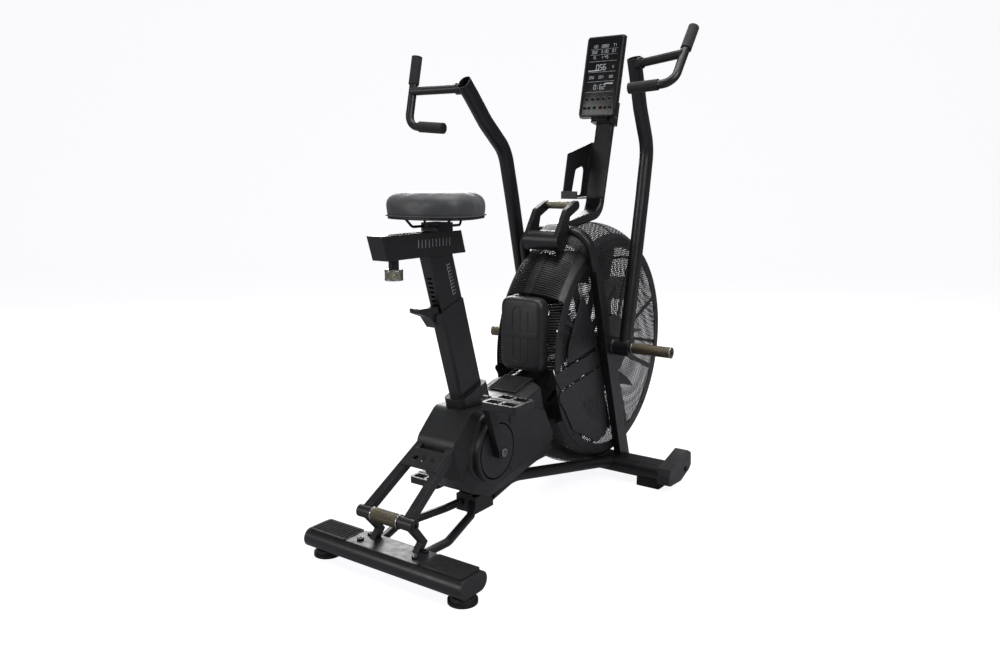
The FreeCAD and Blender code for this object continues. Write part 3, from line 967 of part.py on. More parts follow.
tray_z, tray_x = FAN_HEIGHT + 476, FAN_X - 98
tray = box(tray_x, back_low.x - 4, -22, HOLDER_HALF, tray_z, tray_z + HOLDER_SHEET)
lip = rounded_box(tray_x, tray_x + HOLDER_SHEET, -22, HOLDER_HALF, tray_z, tray_z + 24, 1)
holder = fuse(back, wing.cut(window), tray, lip).cut(mast_outer)
parts["tablet_holder"] = max(holder.Solids, key=lambda solid: solid.Volume)

# ---------------------------------------------------------------- centre handle
BARREL_R, BARREL_HALF, HANDLE_OUT = 32.0, 46.0, 60.0
away = V(-240, 0, 343).normalize()
barrel_at = V(FAN_X, 0, FAN_HEIGHT) + away * (CAGE_RADIUS + BARREL_R + 3)
grip_at = V(barrel_at.x + 88, 0, barrel_at.z + 103)
elbow_at = V(barrel_at.x + 34, 0, barrel_at.z + 80)


def web(a, ra, b, rb, y0, y1):
    """Flat bar with round ends of two radii."""
    return fuse(loop(a, ra, b, rb, y0, y1), rod_y(a.x, a.z, y0, y1, 2 * ra), rod_y(b.x, b.z, y0, y1, 2 * rb))


handle = rod_y(barrel_at.x, barrel_at.z, -BARREL_HALF, BARREL_HALF, 2 * BARREL_R - 4)
stay = web(barrel_at, 20, V(arch_top.x, 0, arch_top.z), 16, -26, 26)
handle = fuse(handle, stay).cut(arch_outer).cut(mast_outer)
handle = max(handle.Solids, key=lambda solid: solid.Volume)
handle_arm = fuse(web(barrel_at, BARREL_R - 2, elbow_at, 15, BARREL_HALF, HANDLE_OUT),
                  web(elbow_at, 15, grip_at, 14, BARREL_HALF, HANDLE_OUT)).cut(arch_outer)
HANDLE_BAR_D = 14.0
bar_core = rod_y(grip_at.x, grip_at.z, -HANDLE_OUT + 2, HANDLE_OUT - 2, HANDLE_BAR_D)
handle_arm = handle_arm.cut(bar_core)
parts["centre_handle"] = Part.Compound([handle, handle_arm, mirror(handle_arm), bar_core])
parts["handle_grip"] = rod_y(grip_at.x, grip_at.z, -BARREL_HALF, BARREL_HALF, 24, HANDLE_BAR_D)

# ---------------------------------------------------------------- moving arms
HUB_D_ARM = 58.0
ARM_WAY = [(0, 12), (-14, 480), (-22, 631), (-104, 733), (-156, 818), (-185, 862)]
ARM_WIDE, ARM_THIN, ARM_WALL = 52.0, 36.0, 2.5


def arm_point(dx, dz, y):
    """Point of the upright arm, given from its pivot."""
    return V(PIVOT_X + dx, y, PIVOT_HEIGHT + dz)


def arm_pieces(swing):
    """Arm, its hand grips, both turned about the pivot by the given angle towards the front."""
    way = [arm_point(dx, dz, ARM_Y) for dx, dz in ARM_WAY]
    outline = oval(ARM_WIDE, ARM_THIN)
    post_outer = sweep(way, 120, outline, V(1, 0, 0))
    post_inner = sweep(way, 120, oval(ARM_WIDE - 2 * ARM_WALL, ARM_THIN - 2 * ARM_WALL), V(1, 0, 0))
    hub_outer = rod_y(PIVOT_X, PIVOT_HEIGHT, HUB_Y0, HUB_Y1, HUB_D_ARM)
    bore = rod_y(PIVOT_X, PIVOT_HEIGHT, HUB_Y0 - 1, HUB_Y1 + 1, PIVOT_SHAFT_D + 2 * RUNNING_FIT)
    bar_start, bar_end = arm_point(-178, 844, ARM_Y), arm_point(-220, 850, GRIP_Y)
    cross = rod(bar_start, bar_end, BAR_D)
    socket = rod(bar_start, bar_start + (bar_end - bar_start).normalize() * 30, BAR_D + 9)
    grip_way = [arm_point(-170, 943, GRIP_Y), arm_point(-258, 755, GRIP_Y), arm_point(-262, 745, 215)]
    core = sweep(grip_way, 40, oval(BAR_D, BAR_D), V(0, 1, 0))
    sleeve = sweep(grip_way, 40, oval(GRIP_D, GRIP_D), V(0, 1, 0)).cut(core)
    down = (grip_way[1] - grip_way[0]).normalize()
    gap_mid = grip_way[0] + down * 103
    keep_top = rod(grip_way[0] - down * 5, gap_mid - down * 20, 60)
    keep_low = box(PIVOT_X - 320, PIVOT_X - 200, 214, 304, PIVOT_HEIGHT + 700, PIVOT_HEIGHT + 800)
    grips = Part.Compound([sleeve.common(keep_top), sleeve.common(keep_low)])
    post = fuse(post_outer.cut(post_inner).cut(hub_outer), hub_outer).cut(bore)
    handlebar = fuse(socket, cross, core).cut(post_outer)
    handlebar = max(handlebar.Solids, key=lambda solid: solid.Volume)
    arm = Part.Compound([post, handlebar])
    return [turn_y(piece, PIVOT_X, PIVOT_HEIGHT, swing) for piece in (arm, grips)]


right_arm, right_grips = arm_pieces(ARM_SWING)
left_arm, left_grips = arm_pieces(-ARM_SWING)
parts["arm_right"], parts["grips_right"] = mirror(right_arm), mirror(right_grips)
parts["arm_left"], parts["grips_left"] = left_arm, left_grips

os.makedirs("parts", exist_ok=True)
for name, shape in parts.items():
    shape.exportStep("parts/" + name + ".step")
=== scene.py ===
"""Looks of an air bike: finishes for its CAD nodes, and pieces that add what those nodes leave plain."""
import json
import logging
import math
from collections.abc import Callable
from dataclasses import dataclass
from enum import Enum
from typing import Any

import bmesh
import bpy
from mathutils import Matrix, Vector

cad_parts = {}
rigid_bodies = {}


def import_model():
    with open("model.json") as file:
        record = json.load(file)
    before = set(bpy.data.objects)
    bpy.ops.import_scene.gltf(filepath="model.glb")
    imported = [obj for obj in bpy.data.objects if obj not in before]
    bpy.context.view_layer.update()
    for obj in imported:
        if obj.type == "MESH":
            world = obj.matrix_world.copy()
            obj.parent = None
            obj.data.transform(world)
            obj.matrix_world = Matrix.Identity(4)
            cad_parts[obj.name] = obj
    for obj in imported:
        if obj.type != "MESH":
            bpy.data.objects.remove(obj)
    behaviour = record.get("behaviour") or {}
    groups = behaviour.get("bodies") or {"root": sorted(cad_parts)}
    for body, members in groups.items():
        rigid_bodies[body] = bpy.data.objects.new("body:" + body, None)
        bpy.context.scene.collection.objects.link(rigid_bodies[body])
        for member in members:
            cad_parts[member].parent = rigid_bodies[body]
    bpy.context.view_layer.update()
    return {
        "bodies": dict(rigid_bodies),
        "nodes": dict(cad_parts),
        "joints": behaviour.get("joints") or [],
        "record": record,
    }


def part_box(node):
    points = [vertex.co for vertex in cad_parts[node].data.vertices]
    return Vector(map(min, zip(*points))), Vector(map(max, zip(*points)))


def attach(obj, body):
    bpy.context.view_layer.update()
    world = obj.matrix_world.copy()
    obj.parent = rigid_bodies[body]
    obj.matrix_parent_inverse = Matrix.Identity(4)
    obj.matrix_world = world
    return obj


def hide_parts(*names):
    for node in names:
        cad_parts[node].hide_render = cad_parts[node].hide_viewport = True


LOG = logging.getLogger("air_bike")
MM = 0.001
Faces = list[tuple[int, ...]]
Rule = Callable[[Vector], Vector]
SIDES = (-1, 1)


# ---------------------------------------------------------------- nodes and finishes
def add_node(tree: bpy.types.NodeTree, kind: str, settings: dict[Any, Any] | None = None,
             links: dict[Any, bpy.types.NodeSocket] | None = None) -> bpy.types.Node:
    """Add a node with its settings and links.

    Args:
        tree: Tree that gets the node.
        kind: Blender's name for the node type.
        settings: Node properties (lower-case names) and socket values (other keys).
        links: Sockets to join to this node's inputs.

    Returns:
        The new node.
    """
    node = tree.nodes.new(kind)
    for key, value in (settings or {}).items():
        if isinstance(key, str) and key[0].islower():
            setattr(node, key, value)
        else:
            node.inputs[key].default_value = value
    for key, source in (links or {}).items():
        tree.links.new(source, node.inputs[key])
    return node


def linear(colour: str) -> tuple[float, float, float, float]:
    """Turn an sRGB hex value such as #202124 into a linear colour with full alpha."""
    parts = [int(colour[i:i + 2], 16) / 255 for i in (1, 3, 5)]
    r, g, b = [p / 12.92 if p <= 0.04045 else ((p + 0.055) / 1.055) ** 2.4 for p in parts]
    return r, g, b, 1.0


class Relief(Enum):
    """Kinds of fine surface relief."""

    GRAIN = "fine random grain"
    PEBBLE = "rounded pebbles, as on embossed leathercloth"
    KNURL = "crossed diamond knurling round a turned part"
    TURNED = "fine rings round a turned part"
    HOLES = "regular round holes through a flat side"


@dataclass(frozen=True)
class Finish:
    """One real surface, and how it was made.

    Sizes named _mm are real millimetres. rough holds the lowest and highest roughness.
    centre (metres) and axis place a turned part's middle line for knurling and rings.
    """

    name: str
    colour: str
    shade: str
    rough: tuple[float, float]
    relief: Relief = Relief.GRAIN
    scale_mm: float = 0.9
    depth_mm: float = 0.05
    metallic: float = 0.0
    worn: str = "#77797c"
    wear: float = 0.25
    edge_mm: float = 1.2
    coat: float = 0.0
    specular: float = 0.5
    sheen: float = 0.0
    centre: tuple[float, float, float] = (0.0, 0.0, 0.0)
    axis: str = "Y"
    diameter_mm: float = 30.0

    def _height(self, tree: bpy.types.NodeTree, place: bpy.types.NodeSocket) -> bpy.types.NodeSocket:
        """Socket that gives the relief's height, from 0 to about 1."""
        per_metre = 1 / (self.scale_mm * MM)
        if self.relief is Relief.GRAIN:
            return add_node(tree, "ShaderNodeTexNoise", {"Scale": per_metre, "Detail": 3.0},
                            {"Vector": place}).outputs[0]
        if self.relief is Relief.PEBBLE:
            return add_node(tree, "ShaderNodeTexVoronoi", {"feature": "SMOOTH_F1", "Scale": per_metre},
                            {"Vector": place}).outputs["Distance"]
        if self.relief is Relief.HOLES:
            flat = add_node(tree, "ShaderNodeMapping", {"Rotation": (math.pi / 2, math.pi / 4, 0)},
                            {"Vector": place})
            dots = add_node(tree, "ShaderNodeTexVoronoi", {"voronoi_dimensions": "2D", "Scale": per_metre,
                                                           "Randomness": 0.0}, {"Vector": flat.outputs[0]})
            return add_node(tree, "ShaderNodeMapRange", {"From Min": 0.27, "From Max": 0.36},
                            {"Value": dots.outputs["Distance"]}).outputs[0]
        centred = add_node(tree, "ShaderNodeMapping", {"Location": tuple(-c for c in self.centre)},
                           {"Vector": place})
        xyz = add_node(tree, "ShaderNodeSeparateXYZ", None, {0: centred.outputs[0]}).outputs
        across = {"X": ("Y", "Z"), "Y": ("X", "Z"), "Z": ("X", "Y")}[self.axis]
        rows = add_node(tree, "ShaderNodeMath", {"operation": "MULTIPLY", 1: math.pi * per_metre},
                        {0: xyz[self.axis]}).outputs[0]
        if self.relief is Relief.TURNED:
            wave = add_node(tree, "ShaderNodeMath", {"operation": "SINE"}, {0: rows}).outputs[0]
            return add_node(tree, "ShaderNodeMath", {"operation": "MULTIPLY_ADD", 1: 0.5, 2: 0.5},
                            {0: wave}).outputs[0]
        turn = add_node(tree, "ShaderNodeMath", {"operation": "ARCTAN2"},
                        {0: xyz[across[0]], 1: xyz[across[1]]}).outputs[0]
        teeth = max(8, round(math.pi * self.diameter_mm / self.scale_mm / 2))
        round_way = add_node(tree, "ShaderNodeMath", {"operation": "MULTIPLY", 1: float(teeth)},
                             {0: turn}).outputs[0]
        cuts = []
        for operation in ("ADD", "SUBTRACT"):
            slant = add_node(tree, "ShaderNodeMath", {"operation": operation},
                             {0: round_way, 1: rows}).outputs[0]
            sine = add_node(tree, "ShaderNodeMath", {"operation": "SINE"}, {0: slant}).outputs[0]
            cuts.append(add_node(tree, "ShaderNodeMath", {"operation": "ABSOLUTE"}, {0: sine}).outputs[0])
        return add_node(tree, "ShaderNodeMath", {"operation": "MULTIPLY"},
                        {0: cuts[0], 1: cuts[1]}).outputs[0]

    def build(self) -> bpy.types.Material:
        """Make the material: slow colour drift, worn edges, roughness drift, relief, and painted shade
        darkening the relief's low places.
        """
        material = bpy.data.materials.new(self.name)
        material.use_nodes = True
        tree = material.node_tree
        tree.nodes.clear()
        place = add_node(tree, "ShaderNodeTexCoord").outputs["Object"]
        slow = add_node(tree, "ShaderNodeTexNoise", {"Scale": 14.0, "Detail": 5.0},
                        {"Vector": place}).outputs[0]
        smudge = add_node(tree, "ShaderNodeMapRange", {"From Min": 0.3, "From Max": 0.7},
                          {"Value": slow}).outputs[0]
        height = self._height(tree, place)
        colour = add_node(tree, "ShaderNodeMix", {"data_type": "RGBA", 6: linear(self.colour),
                                                  7: linear(self.shade)}, {0: smudge}).outputs[2]
        # Painted shade: the low places of knurling, pebbles and holes are darkened in the base colour, the
        # holes nearly to black.
        if self.relief in (Relief.KNURL, Relief.HOLES, Relief.PEBBLE):
            low = 0.12 if self.relief is Relief.HOLES else 0.55
            painted_shadow = add_node(tree, "ShaderNodeMapRange", {"To Min": low}, {"Value": height}).outputs[0]
            dark = add_node(tree, "ShaderNodeMix", {"data_type": "RGBA", "blend_type": "MULTIPLY", 0: 1.0},
                            {6: colour, 7: painted_shadow})
            colour = dark.outputs[2]
        eased = add_node(tree, "ShaderNodeBevel", {"samples": 4, "Radius": self.edge_mm * MM}).outputs[0]
        true = add_node(tree, "ShaderNodeNewGeometry").outputs["Normal"]
        even = add_node(tree, "ShaderNodeVectorMath", {"operation": "DOT_PRODUCT"},
                        {0: eased, 1: true}).outputs[1]
        edge = add_node(tree, "ShaderNodeMapRange",
                        {"From Min": 0.985, "From Max": 0.80, "To Max": self.wear},
                        {"Value": even}).outputs[0]
        rub = add_node(tree, "ShaderNodeTexNoise", {"Scale": 55.0, "Detail": 4.0},
                       {"Vector": place}).outputs[0]
        rubbed = add_node(tree, "ShaderNodeMapRange", {"From Min": 0.38, "From Max": 0.6},
                          {"Value": rub}).outputs[0]
        wear = add_node(tree, "ShaderNodeMath", {"operation": "MULTIPLY"}, {0: edge, 1: rubbed}).outputs[0]
        final = add_node(tree, "ShaderNodeMix", {"data_type": "RGBA", 7: linear(self.worn)},
                         {0: wear, 6: colour}).outputs[2]
        rough = add_node(tree, "ShaderNodeMapRange",
                         {"From Min": 0.25, "From Max": 0.75, "To Min": self.rough[0],
                                                      "To Max": self.rough[1]}, {"Value": rub}).outputs[0]
        bump = add_node(tree, "ShaderNodeBump", {"Strength": 1.0, "Distance": self.depth_mm * MM},
                        {"Height": height, "Normal": eased}).outputs[0]
        shader = add_node(tree, "ShaderNodeBsdfPrincipled",
                          {"Metallic": self.metallic, "Coat Weight": self.coat, "Coat Roughness": 0.12,
                           "Specular IOR Level": self.specular, "Sheen Weight": self.sheen},
                          {"Base Color": final, "Roughness": rough, "Normal": bump})
        add_node(tree, "ShaderNodeOutputMaterial", None, {"Surface": shader.outputs[0]})
        return material


# Satin black powder coat on steel: nearly black, slight orange peel, paler where edges are rubbed.
POWDER_COAT = Finish("satin_black_powder_coat", "#101113", "#17181a", (0.30, 0.44), scale_mm=1.6,
                     depth_mm=0.03, worn="#5c5e61", wear=0.35, edge_mm=1.6)
# Fine-textured grey powder coat, a step lighter, on the stabiliser tops and wheel housings.
GREY_COAT = Finish("textured_grey_powder_coat", "#1b1c1e", "#242527", (0.36, 0.52), scale_mm=1.1,
                   depth_mm=0.06, worn="#6d6f72", wear=0.35, edge_mm=1.8)
# Injection-moulded ABS with a fine spark-eroded grain: broad soft highlights.
MOULDED_ABS = Finish("moulded_black_abs", "#151618", "#1d1e20", (0.38, 0.52), scale_mm=0.7, depth_mm=0.045,
                     worn="#4a4c4f", wear=0.2, edge_mm=2.0)
# The same ABS with round vents through it, drawn on a solid slab as sunken dots whose middles are painted
# nearly black: painted shade in place of the open holes.
VENTED_ABS = Finish("vented_black_abs", "#16171a", "#1e1f22", (0.40, 0.55), relief=Relief.HOLES,
                    scale_mm=8.5, depth_mm=1.6, worn="#3c3e41", wear=0.1)
# Gloss polycarbonate of the console: a clear coat over black, sharp reflections.
CONSOLE_GLOSS = Finish("gloss_black_polycarbonate", "#0a0b0c", "#0e0f11", (0.16, 0.24), scale_mm=3.0,
                       depth_mm=0.008, worn="#2c2e31", wear=0.15, coat=0.25, specular=0.3)
# Pierced and painted cage sheet.
CAGE_SHEET = Finish("pierced_black_sheet", "#141517", "#1c1d1f", (0.34, 0.5), scale_mm=1.2, depth_mm=0.03,
                    worn="#55575a", wear=0.2, edge_mm=0.4)
# Embossed leathercloth over foam: mid grey, small pebbles, a little sheen.
LEATHERCLOTH = Finish("embossed_grey_leathercloth", "#434446", "#4c4d4f", (0.44, 0.56),
                      relief=Relief.PEBBLE,
                      scale_mm=1.5, depth_mm=0.10, worn="#5e6063", wear=0.1, edge_mm=2.5, sheen=0.15)
# Moulded nitrile rubber of feet, pads and treads: dull, faintly mottled.
RUBBER = Finish("moulded_black_rubber", "#0f1011", "#171819", (0.62, 0.8), scale_mm=0.8, depth_mm=0.07,
                worn="#3a3b3d", wear=0.25, edge_mm=1.2)
# Dense foam sleeve on the hand grips: matt with open cells.
GRIP_FOAM = Finish("dense_foam_sleeve", "#131415", "#1b1c1d", (0.68, 0.85), relief=Relief.PEBBLE,
                   scale_mm=0.9, depth_mm=0.09, worn="#2d2e30", wear=0.15, sheen=0.1)
# Zinc-plated screws and shafts.
ZINC = Finish("zinc_plated_steel", "#7d7f82", "#94969a", (0.28, 0.42), scale_mm=0.5, depth_mm=0.02,
              metallic=1.0, worn="#c4c6c9", wear=0.4, edge_mm=0.8)
# Black-oxide steel screws.
BLACK_OXIDE = Finish("black_oxide_steel", "#1c1d1f", "#26282a", (0.3, 0.45), scale_mm=0.5, depth_mm=0.02,
                     metallic=0.7, worn="#7b7d80", wear=0.4, edge_mm=0.6)
# Turned bright steel ring at each arm pivot.
BRIGHT_STEEL = Finish("turned_bright_steel", "#a9abae", "#bcbec1", (0.18, 0.3), relief=Relief.TURNED,
                      scale_mm=0.8, depth_mm=0.02, metallic=1.0, worn="#dddfe2", wear=0.3)
# Sand-cast aluminium, painted dark.
CAST_ALLOY = Finish("cast_aluminium", "#2a2b2d", "#36373a", (0.38, 0.5), scale_mm=0.9, depth_mm=0.07,
                    metallic=0.6, worn="#8b8d90", wear=0.35)
# White screen-printed ink of the scales.
SCALE_INK = Finish("pale_screen_ink", "#b9babd", "#a7a8ab", (0.5, 0.6), scale_mm=0.4, depth_mm=0.01,
                   wear=0.0)
# Lit segments of the liquid crystal display, seen as pale grey.
LCD_SEGMENT = Finish("lcd_segment", "#c9cccf", "#b6b9bd", (0.3, 0.4), scale_mm=0.4, depth_mm=0.005,
                     wear=0.0)
# Coloured key rings: start green, stop red, and grey for the rest.
KEY_GREEN = Finish("key_ring_green", "#3f8f4b", "#4a9a56", (0.4, 0.5), scale_mm=0.4, depth_mm=0.01,
                   wear=0.0)
KEY_RED = Finish("key_ring_red", "#a93834", "#b5423d", (0.4, 0.5), scale_mm=0.4, depth_mm=0.01, wear=0.0)
KEY_GREY = Finish("key_ring_grey", "#8b8d90", "#7a7c7f", (0.4, 0.5), scale_mm=0.4, depth_mm=0.01, wear=0.0)


class Workshop:
    """Makes each finish once, and gives it to pieces and CAD nodes."""

    def __init__(self, nodes: dict[str, bpy.types.Object]) -> None:
        """Keep the frame's nodes.

        Args:
            nodes: CAD node objects by name.
        """
        self.nodes = nodes
        self.made: dict[str, bpy.types.Material] = {}
        self.tree = RepeatTree()

    def material(self, finish: Finish) -> bpy.types.Material:
        """The finish's material, made the first time it is asked for."""
        if finish.name not in self.made:
            self.made[finish.name] = finish.build()
        return self.made[finish.name]

    def dress(self, finish: Finish, *names: str) -> None:
        """Give CAD nodes a finish.

        Args:
            finish: The finish.
            names: CAD node names.
        """
        for name in names:
            data = self.nodes[name].data
            data.materials.clear()
            data.materials.append(self.material(finish))
            LOG.info("node %s: %s", name, finish.name)

    def piece(self, name: str, mesh: bpy.types.Mesh, finish: Finish, body: str, slot: str,
              replaces: tuple[str, ...] = (), smooth: float = 35.0) -> bpy.types.Object:
        """Put a finished mesh in the scene.

        Args:
            name: Piece name.
            mesh: Its mesh, in place, in metres.
            finish: Its finish.
            body: CAD body that it rides on.
            slot: The record's material slot; not used.
            replaces: CAD nodes that it stands for.
            smooth: Edges sharper than this many degrees stay sharp.

        Returns:
            The piece's object.
        """
        mesh.materials.clear()
        mesh.materials.append(self.material(finish))
        mesh.shade_smooth()
        mesh.set_sharp_from_angle(angle=math.radians(smooth))
        obj = bpy.data.objects.new(name, mesh)
        bpy.context.scene.collection.objects.link(obj)
        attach(obj, body)
        if replaces:
            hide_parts(*replaces)
        LOG.info("piece %s: %d faces on %s", name, len(mesh.polygons), body)
        return obj


# ---------------------------------------------------------------- mesh helpers
def mesh_of(points: list[Vector], faces: Faces, outward: bool = True) -> bpy.types.Mesh:
    """Mesh from points and faces, doubles merged.

    Args:
        points: Corners in metres.
        faces: Corner numbers of each face.
        outward: Whether to turn the faces of closed parts outwards.

    Returns:
        The mesh.
    """
    mesh = bpy.data.meshes.new("work")
    mesh.from_pydata([tuple(p) for p in points], [], faces)
    work = bmesh.new()
    work.from_mesh(mesh)
    bmesh.ops.remove_doubles(work, verts=work.verts, dist=1e-6)
    if outward:
        bmesh.ops.recalc_face_normals(work, faces=work.faces)
    work.to_mesh(mesh)
    work.free()
    return mesh


def joined(*meshes: bpy.types.Mesh) -> bpy.types.Mesh:
    """One mesh holding several."""
    work = bmesh.new()
    for mesh in meshes:
        work.from_mesh(mesh)
    result = bpy.data.meshes.new("work")
    work.to_mesh(result)
    work.free()
    return result


def moved(mesh: bpy.types.Mesh, rule: Rule) -> bpy.types.Mesh:
    """The mesh with every point put where the rule says."""
    for vertex in mesh.vertices:
        vertex.co = rule(vertex.co.copy())
    mesh.update()
    return mesh


def mirrored(mesh: bpy.types.Mesh) -> bpy.types.Mesh:
    """A copy on the other side of the middle plane, still facing outwards."""
    work = bmesh.new()
    work.from_mesh(mesh)
    for vertex in work.verts:
        vertex.co.y = -vertex.co.y
    bmesh.ops.reverse_faces(work, faces=work.faces)
    result = bpy.data.meshes.new("work")
    work.to_mesh(result)
    work.free()
    return result


def slab(outline: list[Vector], depth: Vector, ease: float = 0.0) -> bpy.types.Mesh:
    """Flat closed outline with a thickness and eased edges.

    Args:
        outline: Corners in order.
        depth: From the first face to the second.
        ease: Width of the bevel on every edge.

    Returns:
        A closed mesh.
    """
    n = len(outline)
    points = outline + [p + depth for p in outline]
    faces: Faces = [tuple(range(n)), tuple(range(2 * n - 1, n - 1, -1))]
    faces += [(i, (i + 1) % n, n + (i + 1) % n, n + i) for i in range(n)]
    mesh = mesh_of(points, faces)
    if ease:
        work = bmesh.new()
        work.from_mesh(mesh)
        bmesh.ops.bevel(work, geom=list(work.edges), offset=ease, segments=3, affect="EDGES", profile=0.6)
        work.to_mesh(mesh)
        work.free()
    return mesh


def rounded(corners: list[Vector], radius: float, steps: int = 6) -> list[Vector]:
    """Closed outline with its corners rounded.

    Args:
        corners: Sharp corners in order.
        radius: Wanted radius.
        steps: Points on each corner.

    Returns:
        The rounded outline.
    """
    found: list[Vector] = []
    for i, here in enumerate(corners):
        before, after = corners[i - 1] - here, corners[(i + 1) % len(corners)] - here
        half = before.angle(after) / 2
        reach = min(radius / math.tan(half), before.length * 0.45, after.length * 0.45)
        start, end = here + before.normalized() * reach, here + after.normalized() * reach
        for k in range(steps + 1):
            t = k / steps
            found.append(start * (1 - t) ** 2 + here * 2 * t * (1 - t) + end * t ** 2)
    return found


def turned(profile: list[tuple[float, float]], origin: Vector, axis: Vector,
           count: int = 48) -> bpy.types.Mesh:
    """Solid of revolution from a closed profile.

    Args:
        profile: (radius, distance along the axis) corners of a closed outline.
        origin: Point on the axis.
        axis: Direction of the axis.
        count: Points round.

    Returns:
        A closed mesh.
    """
    basis = axis.to_track_quat("Z", "Y").to_matrix()
    points, faces, n = [], [], len(profile)
    for i in range(count):
        angle = 2 * math.pi * i / count
        points += [origin + basis @ Vector((r * math.cos(angle), r * math.sin(angle), h)) for r,
                   h in profile]
        j = (i + 1) % count
        faces += [(i * n + k, i * n + (k + 1) % n, j * n + (k + 1) % n, j * n + k) for k in range(n)]
    return mesh_of(points, faces)


def pipe(line: list[Vector], radius: float, sides: int = 10, closed: bool = False) -> bpy.types.Mesh:
    """Round bar along a line of points.

    Args:
        line: Points of the middle line.
        radius: Bar radius.
        sides: Points round the bar.
        closed: Whether the line joins its own start.

    Returns:
        A closed mesh.
    """
    points: list[Vector] = []
    n = len(line)
    up = Vector((0.0, 0.0, 1.0))
    for i, here in enumerate(line):
        before = line[i - 1] if i or closed else here
        after = line[(i + 1) % n] if i < n - 1 or closed else here
        way = (after - before).normalized()
        side = way.cross(up if abs(way.z) < 0.95 else Vector((1, 0, 0))).normalized()
        other = side.cross(way)
        points += [here + side * radius * math.cos(a) + other * radius * math.sin(a)
                   for a in (2 * math.pi * k / sides for k in range(sides))]
    rings = n if closed else n - 1
    faces: Faces = [(i * sides + k, i * sides + (k + 1) % sides, (i + 1) % n * sides + (k + 1) % sides,
                     (i + 1) % n * sides + k) for i in range(rings) for k in range(sides)]
    if not closed:
        faces += [tuple(range(sides)), tuple(range((n - 1) * sides, n * sides))]
    return mesh_of(points, faces)


# ---------------------------------------------------------------- repeats
class RepeatTree:
    """Geometry Nodes tree that repeats a shape over a grid, with every second row shifted."""

    INPUTS = (("Columns", "NodeSocketInt"), ("Rows", "NodeSocketInt"), ("Step across", "NodeSocketFloat"),
              ("Step along", "NodeSocketFloat"), ("Row shift", "NodeSocketFloat"),
              ("Finish", "NodeSocketMaterial"))

    def __init__(self) -> None:
        """Build the tree and keep its inputs' identifiers."""
        tree = bpy.data.node_groups.new("repeat_over_grid", "GeometryNodeTree")
        tree.interface.new_socket("Geometry", in_out="OUTPUT", socket_type="NodeSocketGeometry")
        tree.interface.new_socket("Shape", in_out="INPUT", socket_type="NodeSocketGeometry")
        self.keys = {name: tree.interface.new_socket(name, in_out="INPUT", socket_type=kind).identifier
                     for name, kind in self.INPUTS}
        given = add_node(tree, "NodeGroupInput").outputs
        spans = []
        for count, step in (("Columns", "Step across"), ("Rows", "Step along")):
            gaps = add_node(tree, "ShaderNodeMath", {"operation": "SUBTRACT", 1: 1.0}, {0: given[count]})
            spans.append(add_node(tree, "ShaderNodeMath", {"operation": "MULTIPLY"},
                                  {0: gaps.outputs[0], 1: given[step]}).outputs[0])
        grid = add_node(tree, "GeometryNodeMeshGrid", None, {"Size X": spans[0], "Size Y": spans[1],
                                                             "Vertices X": given["Columns"],
                                                             "Vertices Y": given["Rows"]})
        where = add_node(tree, "GeometryNodeInputPosition").outputs[0]
        along = add_node(tree, "ShaderNodeSeparateXYZ", None, {0: where}).outputs["Y"]
        from_edge = add_node(tree, "ShaderNodeMath", {"operation": "MULTIPLY_ADD", 1: 0.5},
                             {0: spans[1], 2: along}).outputs[0]
        row = add_node(tree, "ShaderNodeMath", {"operation": "DIVIDE"},
                       {0: from_edge, 1: given["Step along"]})
        whole = add_node(tree, "ShaderNodeMath", {"operation": "ROUND"}, {0: row.outputs[0]})
        odd = add_node(tree, "ShaderNodeMath", {"operation": "MODULO", 1: 2.0}, {0: whole.outputs[0]})
        shift = add_node(tree, "ShaderNodeMath", {"operation": "MULTIPLY"},
                         {0: odd.outputs[0], 1: given["Row shift"]})
        offset = add_node(tree, "ShaderNodeCombineXYZ", None, {"X": shift.outputs[0]})
        placed = add_node(tree, "GeometryNodeSetPosition", None, {"Geometry": grid.outputs["Mesh"],
                                                                  "Offset": offset.outputs[0]})
        spread = add_node(tree, "GeometryNodeInstanceOnPoints", None, {"Points": placed.outputs[0],
                                                                       "Instance": given["Shape"]})
        real = add_node(tree, "GeometryNodeRealizeInstances", None, {"Geometry": spread.outputs[0]})
        welded = add_node(tree, "GeometryNodeMergeByDistance", {"Distance": 1e-5},
                          {"Geometry": real.outputs[0]})
        finished = add_node(tree, "GeometryNodeSetMaterial", None, {"Geometry": welded.outputs[0],
                                                                    "Material": given["Finish"]})
        add_node(tree, "NodeGroupOutput", None, {0: finished.outputs[0]})
        self.tree = tree

    def repeat(self, shape: bpy.types.Mesh, counts: tuple[int, int], steps: tuple[float, float],
               shift: float, finish: bpy.types.Material) -> bpy.types.Mesh:
        """Repeat a shape, centred on the origin in the XY plane.

        Args:
            shape: The shape, about the origin.
            counts: Columns and rows.
            steps: Steps across and along, in metres.
            shift: Shift of every second row, in metres.
            finish: Material of the result.

        Returns:
            A plain mesh.
        """
        holder = bpy.data.objects.new("repeat", shape)
        bpy.context.scene.collection.objects.link(holder)
        modifier = holder.modifiers.new("repeat", "NODES")
        modifier.node_group = self.tree
        for name, value in zip((n for n, _ in self.INPUTS), (*counts, *steps, shift, finish)):
            modifier[self.keys[name]] = value
        bpy.context.view_layer.update()
        graph = bpy.context.evaluated_depsgraph_get()
        result = bpy.data.meshes.new_from_object(holder.evaluated_get(graph))
        bpy.data.objects.remove(holder)
        return result


def screw_head(radius: float, height: float) -> bpy.types.Mesh:
    """Button head along +Z with a hexagon socket, standing on the origin."""
    profile = [(0.0, 0.0), (radius, 0.0), (radius, height * 0.35), (radius * 0.72, height * 0.9),
               (radius * 0.42, height), (radius * 0.40, height * 0.4), (0.0, height * 0.4)]
    return turned(profile, Vector(), Vector((0, 0, 1)), 12)


